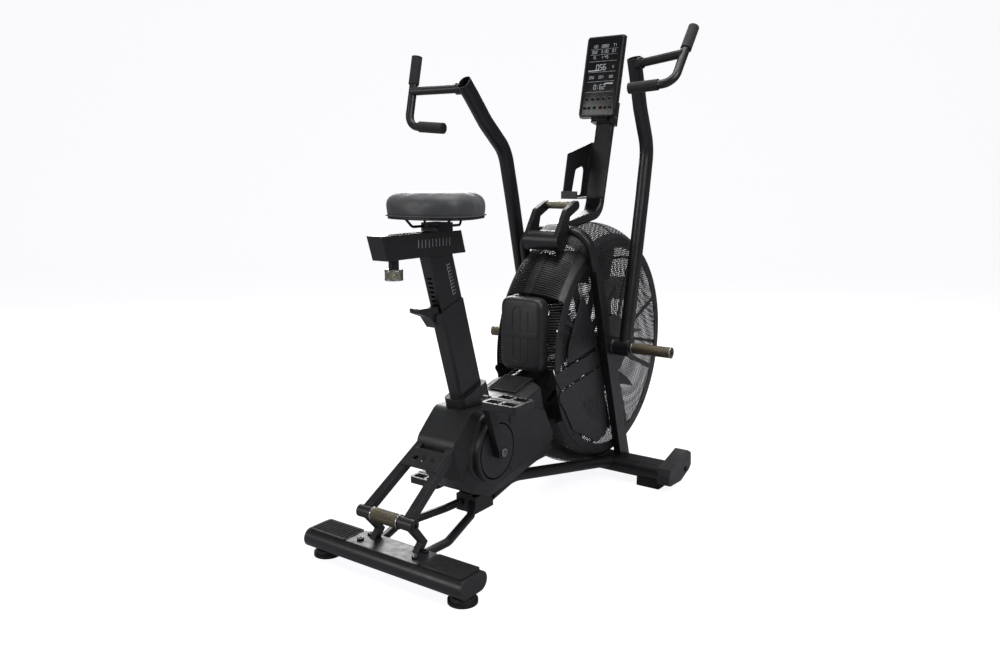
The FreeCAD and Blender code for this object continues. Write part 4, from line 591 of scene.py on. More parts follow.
def bar_shape(length: float, width: float, height: float, parts: int) -> bpy.types.Mesh:
    """Bar along Y about the origin, cut across so that it can follow a curve."""
    corners = [(-width / 2, -height / 2), (width / 2, -height / 2), (width / 2, height / 2),
               (-width / 2, height / 2)]
    points = [Vector((x, length * (i / parts - 0.5), z)) for i in range(parts + 1) for x, z in corners]
    faces: Faces = [(i * 4 + k, i * 4 + (k + 1) % 4, i * 4 + 4 + (k + 1) % 4, i * 4 + 4 + k)
                    for i in range(parts) for k in range(4)]
    faces += [(0, 1, 2, 3), tuple(range(parts * 4, parts * 4 + 4))]
    return mesh_of(points, faces)


# ---------------------------------------------------------------- sub-assemblies
@dataclass
class Frame:
    """Welded steel frame, its feet and its treads."""

    shop: Workshop
    tread_pitch: float = 11 * MM
    tread_rise: float = 1.6 * MM
    pad_y: float = 0.189
    pad_top: float = 0.0801

    def dress(self) -> None:
        """Finish the frame's CAD nodes."""
        self.shop.dress(POWDER_COAT, "lift_crossbar", "rear_ladder", "frame_spine", "wishbone_tubes",
                        "lower_rails",
                        "front_stabiliser_tube", "upright_legs", "upright_arch", "pivot_bosses",
                        "seat_tube",
                        "height_lever", "mast", "tablet_holder", "centre_handle", "rear_stabiliser_tube",
                        "arm_right", "arm_left", "seat_post", "seat_slider")
        self.shop.dress(GREY_COAT, "rear_mount_plate", "wheel_housings", "axle_brackets")
        self.shop.dress(MOULDED_ABS, "end_caps")
        self.shop.dress(BLACK_OXIDE, "frame_bolts")
        self.shop.dress(RUBBER, "rubber_feet", "levelling_foot_left", "levelling_foot_right",
                        "transport_wheel_left", "transport_wheel_right")
        self.shop.dress(BRIGHT_STEEL, "pivot_rings")
        self.shop.dress(ZINC, "pivot_shafts", "fan_axle", "jackshaft", "crank_axle", "crank_bearings")

    def chevron(self) -> bpy.types.Mesh:
        """One raised V of a rubber tread, about the origin in the XY plane."""
        reach, wide, rise = self.tread_pitch * 0.5, 2.4 * MM, self.tread_rise
        points, faces = [], []
        for i, (x, y) in enumerate(((-reach, -2.2 * MM), (0, 2.2 * MM), (reach, -2.2 * MM))):
            points += [Vector((x, y - wide / 2, 0)), Vector((x, y, rise)), Vector((x, y + wide / 2, 0))]
            if i:
                a, b = 3 * i - 3, 3 * i
                faces += [(a, b, b + 1, a + 1), (a + 1, b + 1, b + 2, a + 2), (a + 2, b + 2, b, a)]
        faces += [(0, 1, 2), (6, 8, 7)]
        return mesh_of(points, faces)

    def treads(self) -> None:
        """Chevron treads on the two foot pads and on the step."""
        material = self.shop.material(RUBBER)
        low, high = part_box("rear_mount_plate")
        middle_x = (low.x + high.x) / 2
        for name, side in (("right", -1), ("left", 1)):
            grid = self.shop.tree.repeat(self.chevron(), (11, 12), (self.tread_pitch, 5.2 * MM), 0.0,
                                         material)
            pad = moved(grid, lambda p,
                        s=side: Vector((middle_x - p.y, s * self.pad_y + p.x, self.pad_top + p.z)))
            self.shop.piece(f"foot_tread_{name}", pad, RUBBER, "frame", "rubber")
        low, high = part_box("step_tread")
        run = Vector((high.x - low.x, 0, (high.x - low.x) * 0.25)).normalized()
        up = Vector((-run.z, 0, run.x))
        base = Vector((low.x, 0, low.z)) + run * 51 * MM + up * 1.5 * MM
        plate = slab([base + run * a + Vector((0, b, 0)) for a, b in
                      ((-48 * MM, -49 * MM), (48 * MM, -49 * MM), (48 * MM, 49 * MM), (-48 * MM, 49 * MM))],
                     up * 2.5 * MM, 0.8 * MM)
        grid = self.shop.tree.repeat(self.chevron(), (8, 15), (self.tread_pitch, 5.8 * MM), 0.0, material)
        ribs = moved(grid, lambda p: base + run * p.y + Vector((0, p.x, 0)) + up * (p.z + 2.5 * MM))
        self.shop.piece("step_tread_pad", joined(plate, ribs), RUBBER, "frame", "rubber", ("step_tread",))


@dataclass
class FanCage:
    """Perforated cage round the fan, its seams, screws and rear slats."""

    shop: Workshop
    pitch: float = 8 * MM
    hole_share: float = 0.60
    side_inner: float = 0.101
    side_outer: float = 0.327
    belly: float = 0.400
    shoulder: float = 0.352
    half_width: float = 0.104
    open_from: float = 149.0
    open_to: float = 210.5
    slats_from: float = 128.5
    slat_half: float = 0.088
    band_from: float = 0.090
    upper_panel: tuple[tuple[float, float], ...] = ((-204, 200), (-96, 22), (-289, -8), (-283, 42))
    upper_vent: tuple[tuple[float, float], ...] = ((-202, 150), (-142, 44), (-262, 30), (-258, 72))
    lower_vent: tuple[tuple[float, float], ...] = ((-200, -138), (-98, -150), (-80, -240), (-150, -205))

    def __post_init__(self) -> None:
        """Find the fan axle."""
        low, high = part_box("fan_axle")
        self.centre = (low + high) / 2

    def cell(self, pitch: float) -> bpy.types.Mesh:
        """Six-sided frame round one hole, which tiles with its neighbours."""
        outer = pitch / math.sqrt(3)
        points = [Vector((r * math.sin(a), r * math.cos(a), 0)) for r in (outer, outer * self.hole_share)
                  for a in (math.pi / 3 * k for k in range(6))]
        return mesh_of(points, [(k, (k + 1) % 6, 6 + (k + 1) % 6, 6 + k) for k in range(6)], False)

    def radius_at(self, y: float) -> float:
        """Rim radius at a distance across, from the curve through its belly and shoulders."""
        rise = self.belly - self.shoulder
        arc = (self.half_width ** 2 + rise ** 2) / (2 * rise)
        return self.belly - arc + math.sqrt(max(arc ** 2 - y ** 2, 0.0))

    def on_rim(self, degrees: float, y: float, lift: float = 0.0) -> Vector:
        """Point of the rim at an angle from +X towards +Z."""
        r, a = self.radius_at(y) + lift, math.radians(degrees)
        return Vector((self.centre.x + r * math.cos(a), y, self.centre.z + r * math.sin(a)))

    @staticmethod
    def kept(mesh: bpy.types.Mesh, keep: Callable[[Vector], bool]) -> bpy.types.Mesh:
        """Drop the faces whose middles fail the test.

        Args:
            mesh: Mesh to thin out, changed in place.
            keep: Says of a face's middle whether the face stays.

        Returns:
            The same mesh.
        """
        work = bmesh.new()
        work.from_mesh(mesh)
        bmesh.ops.delete(work, geom=[f for f in work.faces if not keep(f.calc_center_median())],
                         context="FACES")
        work.to_mesh(mesh)
        work.free()
        return mesh

    def sheet(self, columns: int, rows: int, pitch: float) -> bpy.types.Mesh:
        """Flat pierced sheet about the origin."""
        return self.shop.tree.repeat(self.cell(pitch), (columns, rows), (pitch, pitch * math.sqrt(3) / 2),
                                     pitch / 2, self.shop.material(CAGE_SHEET))

    def sides(self) -> None:
        """The two flat pierced sides."""
        count = int(2 * self.side_outer / self.pitch) + 2
        flat = self.kept(self.sheet(count, int(count * 1.16), self.pitch),
                         lambda p: self.side_inner < math.hypot(p.x, p.y) < self.side_outer)
        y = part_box("cage_grilles")[1].y - 0.8 * MM
        left = moved(flat, lambda p: Vector((self.centre.x + p.x, y, self.centre.z + p.y)))
        for polygon in left.polygons:
            polygon.flip()
        self.shop.piece("cage_mesh_sides", joined(left, mirrored(left)), CAGE_SHEET, "frame",
                        "black_powder_coat",
                        ("cage_grilles",))

    def rim(self) -> None:
        """The barrel-shaped pierced rim, its solid bands and its cross seams."""
        turn = 360.0 - (self.open_to - self.open_from)
        arc = math.radians(turn) * self.belly
        columns = round(arc / self.pitch)
        pitch = arc / columns
        rows = int(2 * self.half_width * 1.12 / (pitch * 0.866)) + 1
        flat = self.sheet(columns, rows, pitch)
        reach = rows * pitch * 0.866 / 2

        def wrap(p: Vector) -> Vector:
            y = p.y / reach * self.half_width
            return self.on_rim(math.degrees(p.x / self.belly) + (self.open_from + self.open_to - 360) / 2,
                               y)

        mesh = moved(flat, wrap)
        base_low, base_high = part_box("front_stabiliser_tube")

        def keep(p: Vector) -> bool:
            angle = math.degrees(math.atan2(p.z - self.centre.z, p.x - self.centre.x))
            in_base = base_low.x - 2 * MM < p.x < base_high.x + 2 * MM and p.z < base_high.z + 2 * MM
            return abs(p.y) < self.half_width and not in_base and not (
                self.slats_from < angle < self.open_from + 2 and abs(p.y) < self.slat_half)

        mesh = self.kept(mesh, keep)
        self.shop.piece("cage_mesh_rim", mesh, CAGE_SHEET, "frame", "black_powder_coat", ("cage_rim",))
        strips = []
        for y0, y1 in ((self.band_from, self.half_width), (-self.half_width, -self.band_from)):
            strips.append(self.band(self.open_to - 360, self.open_from, y0, y1, 150))
        for start in (88.0, 40.0, -8.0, -56.0):
            strips.append(self.band(start, start + 1.6, -0.1, 0.1, 3))
        self.shop.piece("cage_bands", joined(*strips), CAGE_SHEET, "frame", "black_powder_coat")

    def band(self, start: float, end: float, y0: float, y1: float, steps: int,
             sunk: float = 0.0) -> bpy.types.Mesh:
        """Closed strip that follows the rim.

        Args:
            start: First angle, in degrees from +X towards +Z.
            end: Last angle.
            y0: First distance across.
            y1: Second distance across.
            steps: Parts along the strip.
            sunk: How far below the rim it lies.

        Returns:
            A closed mesh.
        """
        across = 9
        points, faces = [], []
        for i in range(steps + 1):
            angle = start + (end - start) * i / steps
            for lift in (1.0 * MM - sunk, -1.2 * MM - sunk):
                points += [self.on_rim(angle, y0 + (y1 - y0) * k / (across - 1),
                                       lift) for k in range(across)]
        wide = 2 * across
        ring = list(range(across)) + list(range(wide - 1, across - 1, -1))
        for i in range(steps):
            for k in range(wide):
                a, b = ring[k], ring[(k + 1) % wide]
                faces.append((i * wide + a, i * wide + b, (i + 1) * wide + b, (i + 1) * wide + a))
        for i in (0, steps):
            faces.append(tuple(i * wide + k for k in ring))
        return mesh_of(points, faces)

    def slats(self) -> None:
        """Slats over the rear top of the rim, and short ones beside the guard."""
        material = self.shop.material(CAGE_SHEET)
        span = self.open_from - self.slats_from
        count = round(math.radians(span) * self.belly / (7.5 * MM))
        row = self.shop.tree.repeat(bar_shape(0.180, 3.2 * MM, 4 * MM, 14), (count, 1), (8 * MM, 1.0), 0.0,
                                    material)

        def wrap(p: Vector) -> Vector:
            angle = self.slats_from + span * (p.x / (8 * MM * count) + 0.5)
            return self.on_rim(angle, p.y, p.z)

        strips = [moved(row, wrap), self.band(self.slats_from - 1, self.open_from, -0.013, 0.013, 14),
                  self.band(self.slats_from - 1, self.open_from, -0.089, 0.089, 14, 6 * MM)]
        guard_low, guard_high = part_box("wind_guard")
        short = self.shop.tree.repeat(bar_shape(1.0, 3 * MM, 3.2 * MM, 4), (25, 1), (8 * MM, 2.0), 0.0,
                                      material)
        z_middle = (guard_low.z + guard_high.z) / 2 - 4 * MM

        def beside(p: Vector) -> Vector:
            t, z = p.y + 0.5, z_middle + p.x
            ring_x = self.centre.x - math.sqrt(self.shoulder ** 2 - (z - self.centre.z) ** 2)
            x = guard_high.x - 6 * MM + t * (ring_x + 4 * MM - guard_high.x + 6 * MM)
            return Vector((x - p.z, guard_high.y - 2 * MM + t ** 0.8 * (0.1035 - guard_high.y), z))

        right = moved(short, beside)
        strips += [right, mirrored(right)]
        self.shop.piece("cage_slats", joined(*strips), CAGE_SHEET, "frame", "black_powder_coat")

    def side_outline(self, corners: tuple[tuple[float, float], ...], radius: float,
                     y: float) -> list[Vector]:
        """Rounded outline on a side of the cage.

        Args:
            corners: Corners in millimetres from the fan axle, as (forwards, up).
            radius: Corner radius in metres.
            y: Distance from the middle plane in metres.

        Returns:
            The outline.
        """
        flat = rounded([self.centre + Vector((x * MM, 0, z * MM)) for x, z in corners], radius)
        return [Vector((p.x, y, p.z)) for p in flat]

    def panels(self) -> None:
        """Raised upper panel on each side, and the vented zones of the upper and lower panels."""
        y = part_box("cage_sides")[1].y
        frames = [slab(self.side_outline(self.upper_panel, 14 * MM, y), Vector((0, 3.5 * MM, 0)), 1.2 * MM)]
        vents = []
        for zone, lift in ((self.upper_vent, 3.6 * MM), (self.lower_vent, 4.1 * MM)):
            outline = self.side_outline(zone, 12 * MM, y + lift - 1 * MM)
            vents.append(slab(outline, Vector((0, 1.4 * MM, 0)), 0.6 * MM))
        for name, parts, finish in (("upper_side_panels", frames, MOULDED_ABS),
                                    ("side_vents", vents, VENTED_ABS)):
            left = joined(*parts)
            self.shop.piece(name, joined(left, mirrored(left)), finish, "frame", "moulded_black")

    def screws(self) -> None:
        """Screws round both side rings."""
        count, radius = 12, (self.shoulder + 0.322) / 2
        row = self.shop.tree.repeat(screw_head(4.2 * MM, 2.6 * MM), (count, 1), (1.0, 1.0), 0.0,
                                    self.shop.material(BLACK_OXIDE))
        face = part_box("cage_sides")[1].y

        def wrap(p: Vector) -> Vector:
            index = round(p.x + (count - 1) / 2)
            local = Vector((p.x + (count - 1) / 2 - index, p.y, p.z))
            angle = 2 * math.pi * (index + 0.5) / count
            return Vector((self.centre.x + radius * math.cos(angle) + local.x, face + local.z,
                           self.centre.z + radius * math.sin(angle) + local.y))

        left = moved(row, wrap)
        left.flip_normals()
        self.shop.piece("cage_screws", joined(left, mirrored(left)), BLACK_OXIDE, "frame", "zinc_bolt")

    def build(self) -> None:
        """Make every piece of the cage and finish its CAD nodes."""
        self.shop.dress(MOULDED_ABS, "cage_sides")
        self.shop.dress(GREY_COAT, "fan_blades")
        self.shop.dress(CAST_ALLOY, "fan_hub", "fan_pulley")
        self.sides()
        self.rim()
        self.slats()
        self.panels()
        self.screws()


@dataclass
class BodyCovers:
    """Moulded covers over the belt drive, and the upright guard."""

    shop: Workshop
    panel_rise: float = 2.6 * MM
    disc_face: float = 0.102
    ring_radius: float = 0.060

    def build(self) -> None:
        """Finish the covers' CAD nodes and add the side plates, disc rings, guard and guard relief."""
        self.shop.dress(MOULDED_ABS, "body_shell", "side_covers")
        self.shop.dress(RUBBER, "drive_belts")
        self.side_plates()
        self.disc_rings()
        self.guard()
        self.guard_relief()

    def guard(self) -> None:
        """Soft-cornered guard: full-sized at the front, easing to a rounded rear face."""
        low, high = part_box("wind_guard")
        rings = []
        for x, inset, radius in ((high.x, 0, 34), (high.x - 9 * MM, 0, 34), (low.x + 17 * MM, 0.5, 34),
                                 (low.x + 10 * MM, 2.0, 33), (low.x + 5 * MM, 5.0, 31),
                                 (low.x + 1.6 * MM, 9.5, 28),
                                 (low.x, 15.0, 24)):
            y, z0, z1 = high.y - inset * MM, low.z + inset * MM, high.z - inset * MM
            rings.append(rounded([Vector((x, -y, z0)), Vector((x, y, z0)), Vector((x, y, z1)),
                                  Vector((x, -y, z1))], radius * MM, 10))
        n = len(rings[0])
        faces: Faces = [(i * n + k, i * n + (k + 1) % n, (i + 1) * n + (k + 1) % n, (i + 1) * n + k)
                        for i in range(len(rings) - 1) for k in range(n)]
        faces += [tuple(range(n)), tuple(range((len(rings) - 1) * n, len(rings) * n))]
        self.shop.piece("guard_shell", mesh_of([p for ring in rings for p in ring], faces), MOULDED_ABS,
                        "frame",
                        "moulded_black", ("wind_guard",), 50.0)

    def side_plates(self) -> None:
        """Raised plates on both sides of the body, drawn in at a chamfer."""
        low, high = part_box("body_shell")
        fan = (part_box("fan_axle")[0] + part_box("fan_axle")[1]) / 2
        corners = [(-561, -76), (-500, -88), (-381, -128), (-327, -222), (-395, -250), (-505, -265),
                   (-560, -270)]
        outline = rounded([Vector((fan.x + x * MM, 0, fan.z + z * MM)) for x, z in corners], 16 * MM)
        left = slab([Vector((p.x, high.y - 1 * MM, p.z)) for p in outline],
                    Vector((0, self.panel_rise + 1 * MM, 0)), 2.2 * MM)
        self.shop.piece("body_side_plates", joined(left, mirrored(left)), MOULDED_ABS, "frame",
                        "moulded_black")

    def disc_rings(self) -> None:
        """Raised ring and a short curved rib on each crank disc."""
        low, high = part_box("crank_axle")
        centre = (low + high) / 2
        face, reach = self.disc_face, self.ring_radius
        left = turned([(0.074, -4 * MM), (0.079, -4 * MM), (0.0785, 0.0), (0.0745, 0.0)],
                      Vector((centre.x, face, centre.z)), Vector((0, 1, 0)), 72)
        arc = [Vector((centre.x + reach * math.cos(a), face - 2.4 * MM, centre.z + reach * math.sin(a)))
               for a in (math.radians(-70 + 10 * k) for k in range(15))]
        rib = pipe(arc, 1.6 * MM)
        both = joined(left, rib)
        self.shop.piece("disc_rings", joined(both, mirrored(both)), GREY_COAT, "frame", "moulded_black")

    def guard_relief(self) -> None:
        """Pill-shaped rib on the guard's back, with a band across it."""
        low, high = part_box("wind_guard")
        x, z0, z1 = low.x, low.z + 26 * MM, high.z - 26 * MM
        half = 27 * MM
        corners = [Vector((x, -half, z0)), Vector((x, half, z0)), Vector((x, half, z1)),
                   Vector((x, -half, z1))]
        ring = pipe(rounded(corners, half * 0.98, 10), 1.6 * MM, closed=True)
        middle = (z0 + z1) / 2
        band = slab([Vector((x + 1 * MM, y, z)) for y, z in
                     ((-60 * MM, middle - 9 * MM), (60 * MM, middle - 9 * MM), (60 * MM, middle + 9 * MM),
                      (-60 * MM, middle + 9 * MM))], Vector((-2.4 * MM, 0, 0)), 0.8 * MM)
        spine = slab([Vector((x + 0.6 * MM, y, z)) for y, z in
                      ((-1.2 * MM, z0 + 8 * MM), (1.2 * MM, z0 + 8 * MM), (1.2 * MM, z1 - 8 * MM),
                       (-1.2 * MM, z1 - 8 * MM))], Vector((-1.2 * MM, 0, 0)))
        self.shop.piece("guard_relief", joined(ring, band, spine), MOULDED_ABS, "frame", "moulded_black")


@dataclass
class Saddle:
    """Padded seat, its shell, and the scales on its slider and post."""

    shop: Workshop
    cap: float = 7 * MM
    voxel: float = 5 * MM
    pressure: float = 4.0
    skirt: float = 0.76

    def half_width(self, t: float, half: float) -> float:
        """Half width of the plan.

        Args:
            t: Place along the seat, from 0 at the rear to 1 at the nose.
            half: Greatest half width.

        Returns:
            The half width there.
        """
        rear = math.sqrt(max(0.0, 1 - (1 - min(t / 0.30, 1.0)) ** 2.3))
        nose = math.sqrt(max(0.0, 1 - max(0.0, (t - 0.80) / 0.20) ** 2.4))
        taper = 1.0 - 0.42 * max(0.0, (t - 0.42) / 0.58) ** 1.25
        return half * rear * nose * taper

    def outline(self, inset: float, count: int = 72) -> list[tuple[float, float]]:
        """Plan of the seat, drawn in by the inset, as (x, y) points anticlockwise."""
        low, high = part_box("seat_cushion")
        length, half = high.x - low.x - 2 * inset, (high.y - low.y) / 2 - inset
        ts = [0.5 - 0.5 * math.cos(math.pi * k / (count // 2)) for k in range(count // 2 + 1)]
        right = [(low.x + inset + t * length, -self.half_width(t, half)) for t in ts]
        left = [(x, -y) for x, y in reversed(right[1:-1])]
        return right + left

    def blank(self) -> bpy.types.Mesh:
        """Closed starting shape: a flat base, nearly upright sides and a crowned top."""
        low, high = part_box("seat_cushion")
        base, top = low.z + 5 * MM, high.z - 8 * MM
        rings: list[list[Vector]] = []
        levels = [(6 * MM, 0.0), (4 * MM, 0.08), (3.5 * MM, 0.30), (4 * MM, 0.55), (7 * MM, 0.72),
                  (14 * MM, 0.86),
                  (26 * MM, 0.94)]
        for inset, level in levels:
            rings.append([Vector((x, y, base + (top - base) * level)) for x, y in self.outline(inset)])
        centre = Vector(((low.x + high.x) / 2 - 6 * MM, 0, 0))
        for shrink in (0.75, 0.5, 0.25):
            rings.append([centre + Vector(((p.x - centre.x) * shrink, p.y * shrink,
                                           top - (0.06 * (top - base)) *
                                           shrink ** 2)) for p in rings[6]])
        n = len(rings[0])
        points = [p for ring in rings for p in ring]
        faces: Faces = [(i * n + k, i * n + (k + 1) % n, (i + 1) * n + (k + 1) % n, (i + 1) * n + k)
                        for i in range(len(rings) - 1) for k in range(n)]
        points += [centre + Vector((0, 0, top)), centre + Vector((0, 0, base))]
        last = (len(rings) - 1) * n
        faces += [(last + k, last + (k + 1) % n, len(points) - 2) for k in range(n)]
        faces += [(k, len(points) - 1, (k + 1) % n) for k in range(n)]
        return mesh_of(points, faces)

    def swell(self, obj: bpy.types.Object) -> None:
        """Puff the pad up with cloth, capping how far any point may move."""
        remesh = obj.modifiers.new("remesh", "REMESH")
        remesh.mode, remesh.voxel_size = "VOXEL", self.voxel
        self.apply(obj)
        start = [v.co.copy() for v in obj.data.vertices]
        cloth = obj.modifiers.new("cloth", "CLOTH")
        cloth.settings.use_pressure = True
        cloth.settings.uniform_pressure_force = self.pressure
        cloth.settings.effector_weights.gravity = 0.0
        for frame in range(1, 21):
            bpy.context.scene.frame_set(frame)
        self.apply(obj)
        bpy.context.scene.frame_set(1)
        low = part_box("seat_cushion")[0]
        for vertex, before in zip(obj.data.vertices, start):
            shift = vertex.co - before
            if shift.length > self.cap:
                shift = shift.normalized() * self.cap
            settle = min(1.0, max(0.0, (before.z - low.z - 7 * MM) / (8 * MM)))
            vertex.co = before + shift * settle

    @staticmethod
    def apply(obj: bpy.types.Object) -> None:
        """Make the modifiers' result the object's own mesh."""
        bpy.context.view_layer.update()
        graph = bpy.context.evaluated_depsgraph_get()
        mesh = bpy.data.meshes.new_from_object(obj.evaluated_get(graph))
        obj.modifiers.clear()
        obj.data = mesh

    def channel(self, mesh: bpy.types.Mesh) -> None:
        """Sink the middle channel of the nose and the shallow dish of the rear into the top."""
        low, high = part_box("seat_cushion")
        for vertex in mesh.vertices:
            t = (vertex.co.x - low.x) / (high.x - low.x)
            upper = min(1.0, max(0.0, (vertex.co.z - low.z - 0.5 * (high.z - low.z)) / (16 * MM)))
            groove = math.exp(-(vertex.co.y / (13 * MM)) ** 2) * min(1.0,
                                                                     max(0.0, (t - 0.35) / 0.45)) * 9 * MM
            dish = 4 * MM * math.exp(-((t - 0.42) / 0.28) ** 2) * math.exp(-(vertex.co.y / (60 * MM)) ** 2)
            vertex.co.z -= upper * (groove + dish)

    def build(self) -> None:
        """Make the pad, its piping, its base pan and the printed scales."""
        obj = bpy.data.objects.new("seat_pad", self.blank())
        bpy.context.scene.collection.objects.link(obj)
        self.swell(obj)
        self.channel(obj.data)
        smooth = obj.modifiers.new("smooth", "SMOOTH")
        smooth.factor, smooth.iterations = 0.6, 28
        subdivide = obj.modifiers.new("subdivide", "SUBSURF")
        subdivide.levels = subdivide.render_levels = 1
        self.apply(obj)
        mesh = obj.data
        bpy.data.objects.remove(obj)
        mesh.materials.clear()
        pad = self.shop.piece("seat_pad", mesh, LEATHERCLOTH, "seat", "seat_cover", ("seat_cushion",), 80.0)
        low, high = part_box("seat_cushion")
        seam = [Vector((x, y, low.z + 9 * MM)) for x, y in self.outline(5.5 * MM)]
        self.shop.piece("seat_piping", pipe(seam, 1.7 * MM, 8, True), LEATHERCLOTH, "seat", "seat_cover")
        pan = slab([Vector((x, y, low.z + 0.5 * MM)) for x, y in self.outline(9 * MM, 48)],
                   Vector((0, 0, 6 * MM)), 1.0 * MM)
        self.shop.piece("seat_pan", pan, MOULDED_ABS, "seat", "moulded_black")
        self.shop.dress(CAST_ALLOY, "seat_carriage")
        self.scales()
        self.knob()

    def scales(self) -> None:
        """Printed scale marks on the slider's sides and on the post."""
        material = self.shop.material(SCALE_INK)
        low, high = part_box("seat_slider")
        beam_low = high.z - 59 * MM
        row = self.shop.tree.repeat(bar_shape(0.020, 1.3 * MM, 0.5 * MM, 1), (10, 1), (13.5 * MM, 1.0), 0.0,
                                    material)
        middle = low.x + (high.x - low.x) * 0.60
        left = moved(row, lambda p: Vector((middle + p.x, high.y + p.z + 0.1 * MM,
                                            beam_low + 33 * MM + p.y)))
        marks = joined(left, mirrored(left))
        self.shop.piece("slider_scale", marks, SCALE_INK, "seat_height", "key_film")
        low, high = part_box("seat_post")
        lean = math.radians(17.5)
        up, across = Vector((-math.sin(lean), 0, math.cos(lean))), Vector((math.cos(lean), 0,
                                                                           math.sin(lean)))
        top = Vector((low.x, 0, high.z)) + across * 47 * MM
        at = top - up * 88 * MM + across * 8 * MM
        row = self.shop.tree.repeat(bar_shape(0.013, 1.2 * MM, 0.5 * MM, 1), (10, 1), (9 * MM, 1.0), 0.0,
                                    material)
        ticks = moved(row,
                      lambda p: at + up * p.x + across * (p.y + 7 * MM) + Vector((0,
                                                                                  high.y + p.z + 0.1 * MM,
                                                                                  0)))
        line = slab([at + up * a + across * b + Vector((0, high.y - 0.1 * MM, 0)) for a, b in
                     ((-44 * MM, 0), (44 * MM, 0), (44 * MM, 1.1 * MM), (-44 * MM, 1.1 * MM))],
                    Vector((0, 0.4 * MM, 0)))
        left = joined(ticks, line)
        self.shop.piece("post_scale", joined(left, mirrored(left)), SCALE_INK, "seat_height", "key_film")

    def knob(self) -> None:
        """Knurled pull knob under the slider."""
        low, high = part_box("seat_knob")
        middle = (low + high) / 2
        self.shop.dress(Finish("knurled_nickel_steel", "#8a8578", "#9c978a", (0.24, 0.38),
                               relief=Relief.KNURL,
                               scale_mm=2.4, depth_mm=0.35, metallic=1.0, worn="#d6d3ca", wear=0.5,
                               centre=tuple(middle), axis="Z", diameter_mm=44), "seat_knob")
        for name, z in (("upper", low.z + 22 * MM), ("lower", low.z + 2.5 * MM)):
            ring = turned([(21 * MM, -1.6 * MM), (22.3 * MM, -1.6 * MM), (22.6 * MM, 0),
                           (22.3 * MM, 1.6 * MM),
                           (21 * MM, 1.6 * MM)], Vector((middle.x, 0, z)), Vector((0, 0, 1)), 64)
            self.shop.piece(f"knob_ring_{name}", ring, BRIGHT_STEEL, "seat_knob", "bare_steel")


class Digit:
    """Seven-segment figures made of slim bars."""

    # Middle (across, up) and whether upright, of each bar in a figure one unit high and half a unit wide.
    BARS = {"a": (0.0, 0.5, False), "b": (0.25, 0.25, True), "c": (0.25, -0.25, True),
            "d": (0.0, -0.5, False),
            "e": (-0.25, -0.25, True), "f": (-0.25, 0.25, True), "g": (0.0, 0.0, False)}
    LIT = {"0": "abcdef", "1": "bc", "2": "abged", "3": "abgcd", "4": "fgbc", "5": "afgcd", "6": "afgedc",
           "7": "abc", "8": "abcdefg", "9": "abcdfg"}

    @classmethod
    def bars(cls, text: str, height: float) -> list[tuple[float, float, float, float]]:
        """Bars of a number as (across, up, width, height), centred on the origin.

        Args:
            text: Figures, colons and spaces.
            height: Height of a figure.

        Returns:
            The bars.
        """
        step, thick = height * 0.68, height * 0.11
        found = []
        for i, letter in enumerate(text):
            x = (i - (len(text) - 1) / 2) * step
            if letter == ":":
                found += [(x, u * height, thick, thick) for u in (-0.2, 0.2)]
            for bar in cls.LIT.get(letter, ""):
                dx, dy, upright = cls.BARS[bar]
                long, slim = height * 0.42, thick
                found.append((x + dx * height * 0.92, dy * height * 0.92, slim if upright else long,
                              long if upright else slim))
        return found


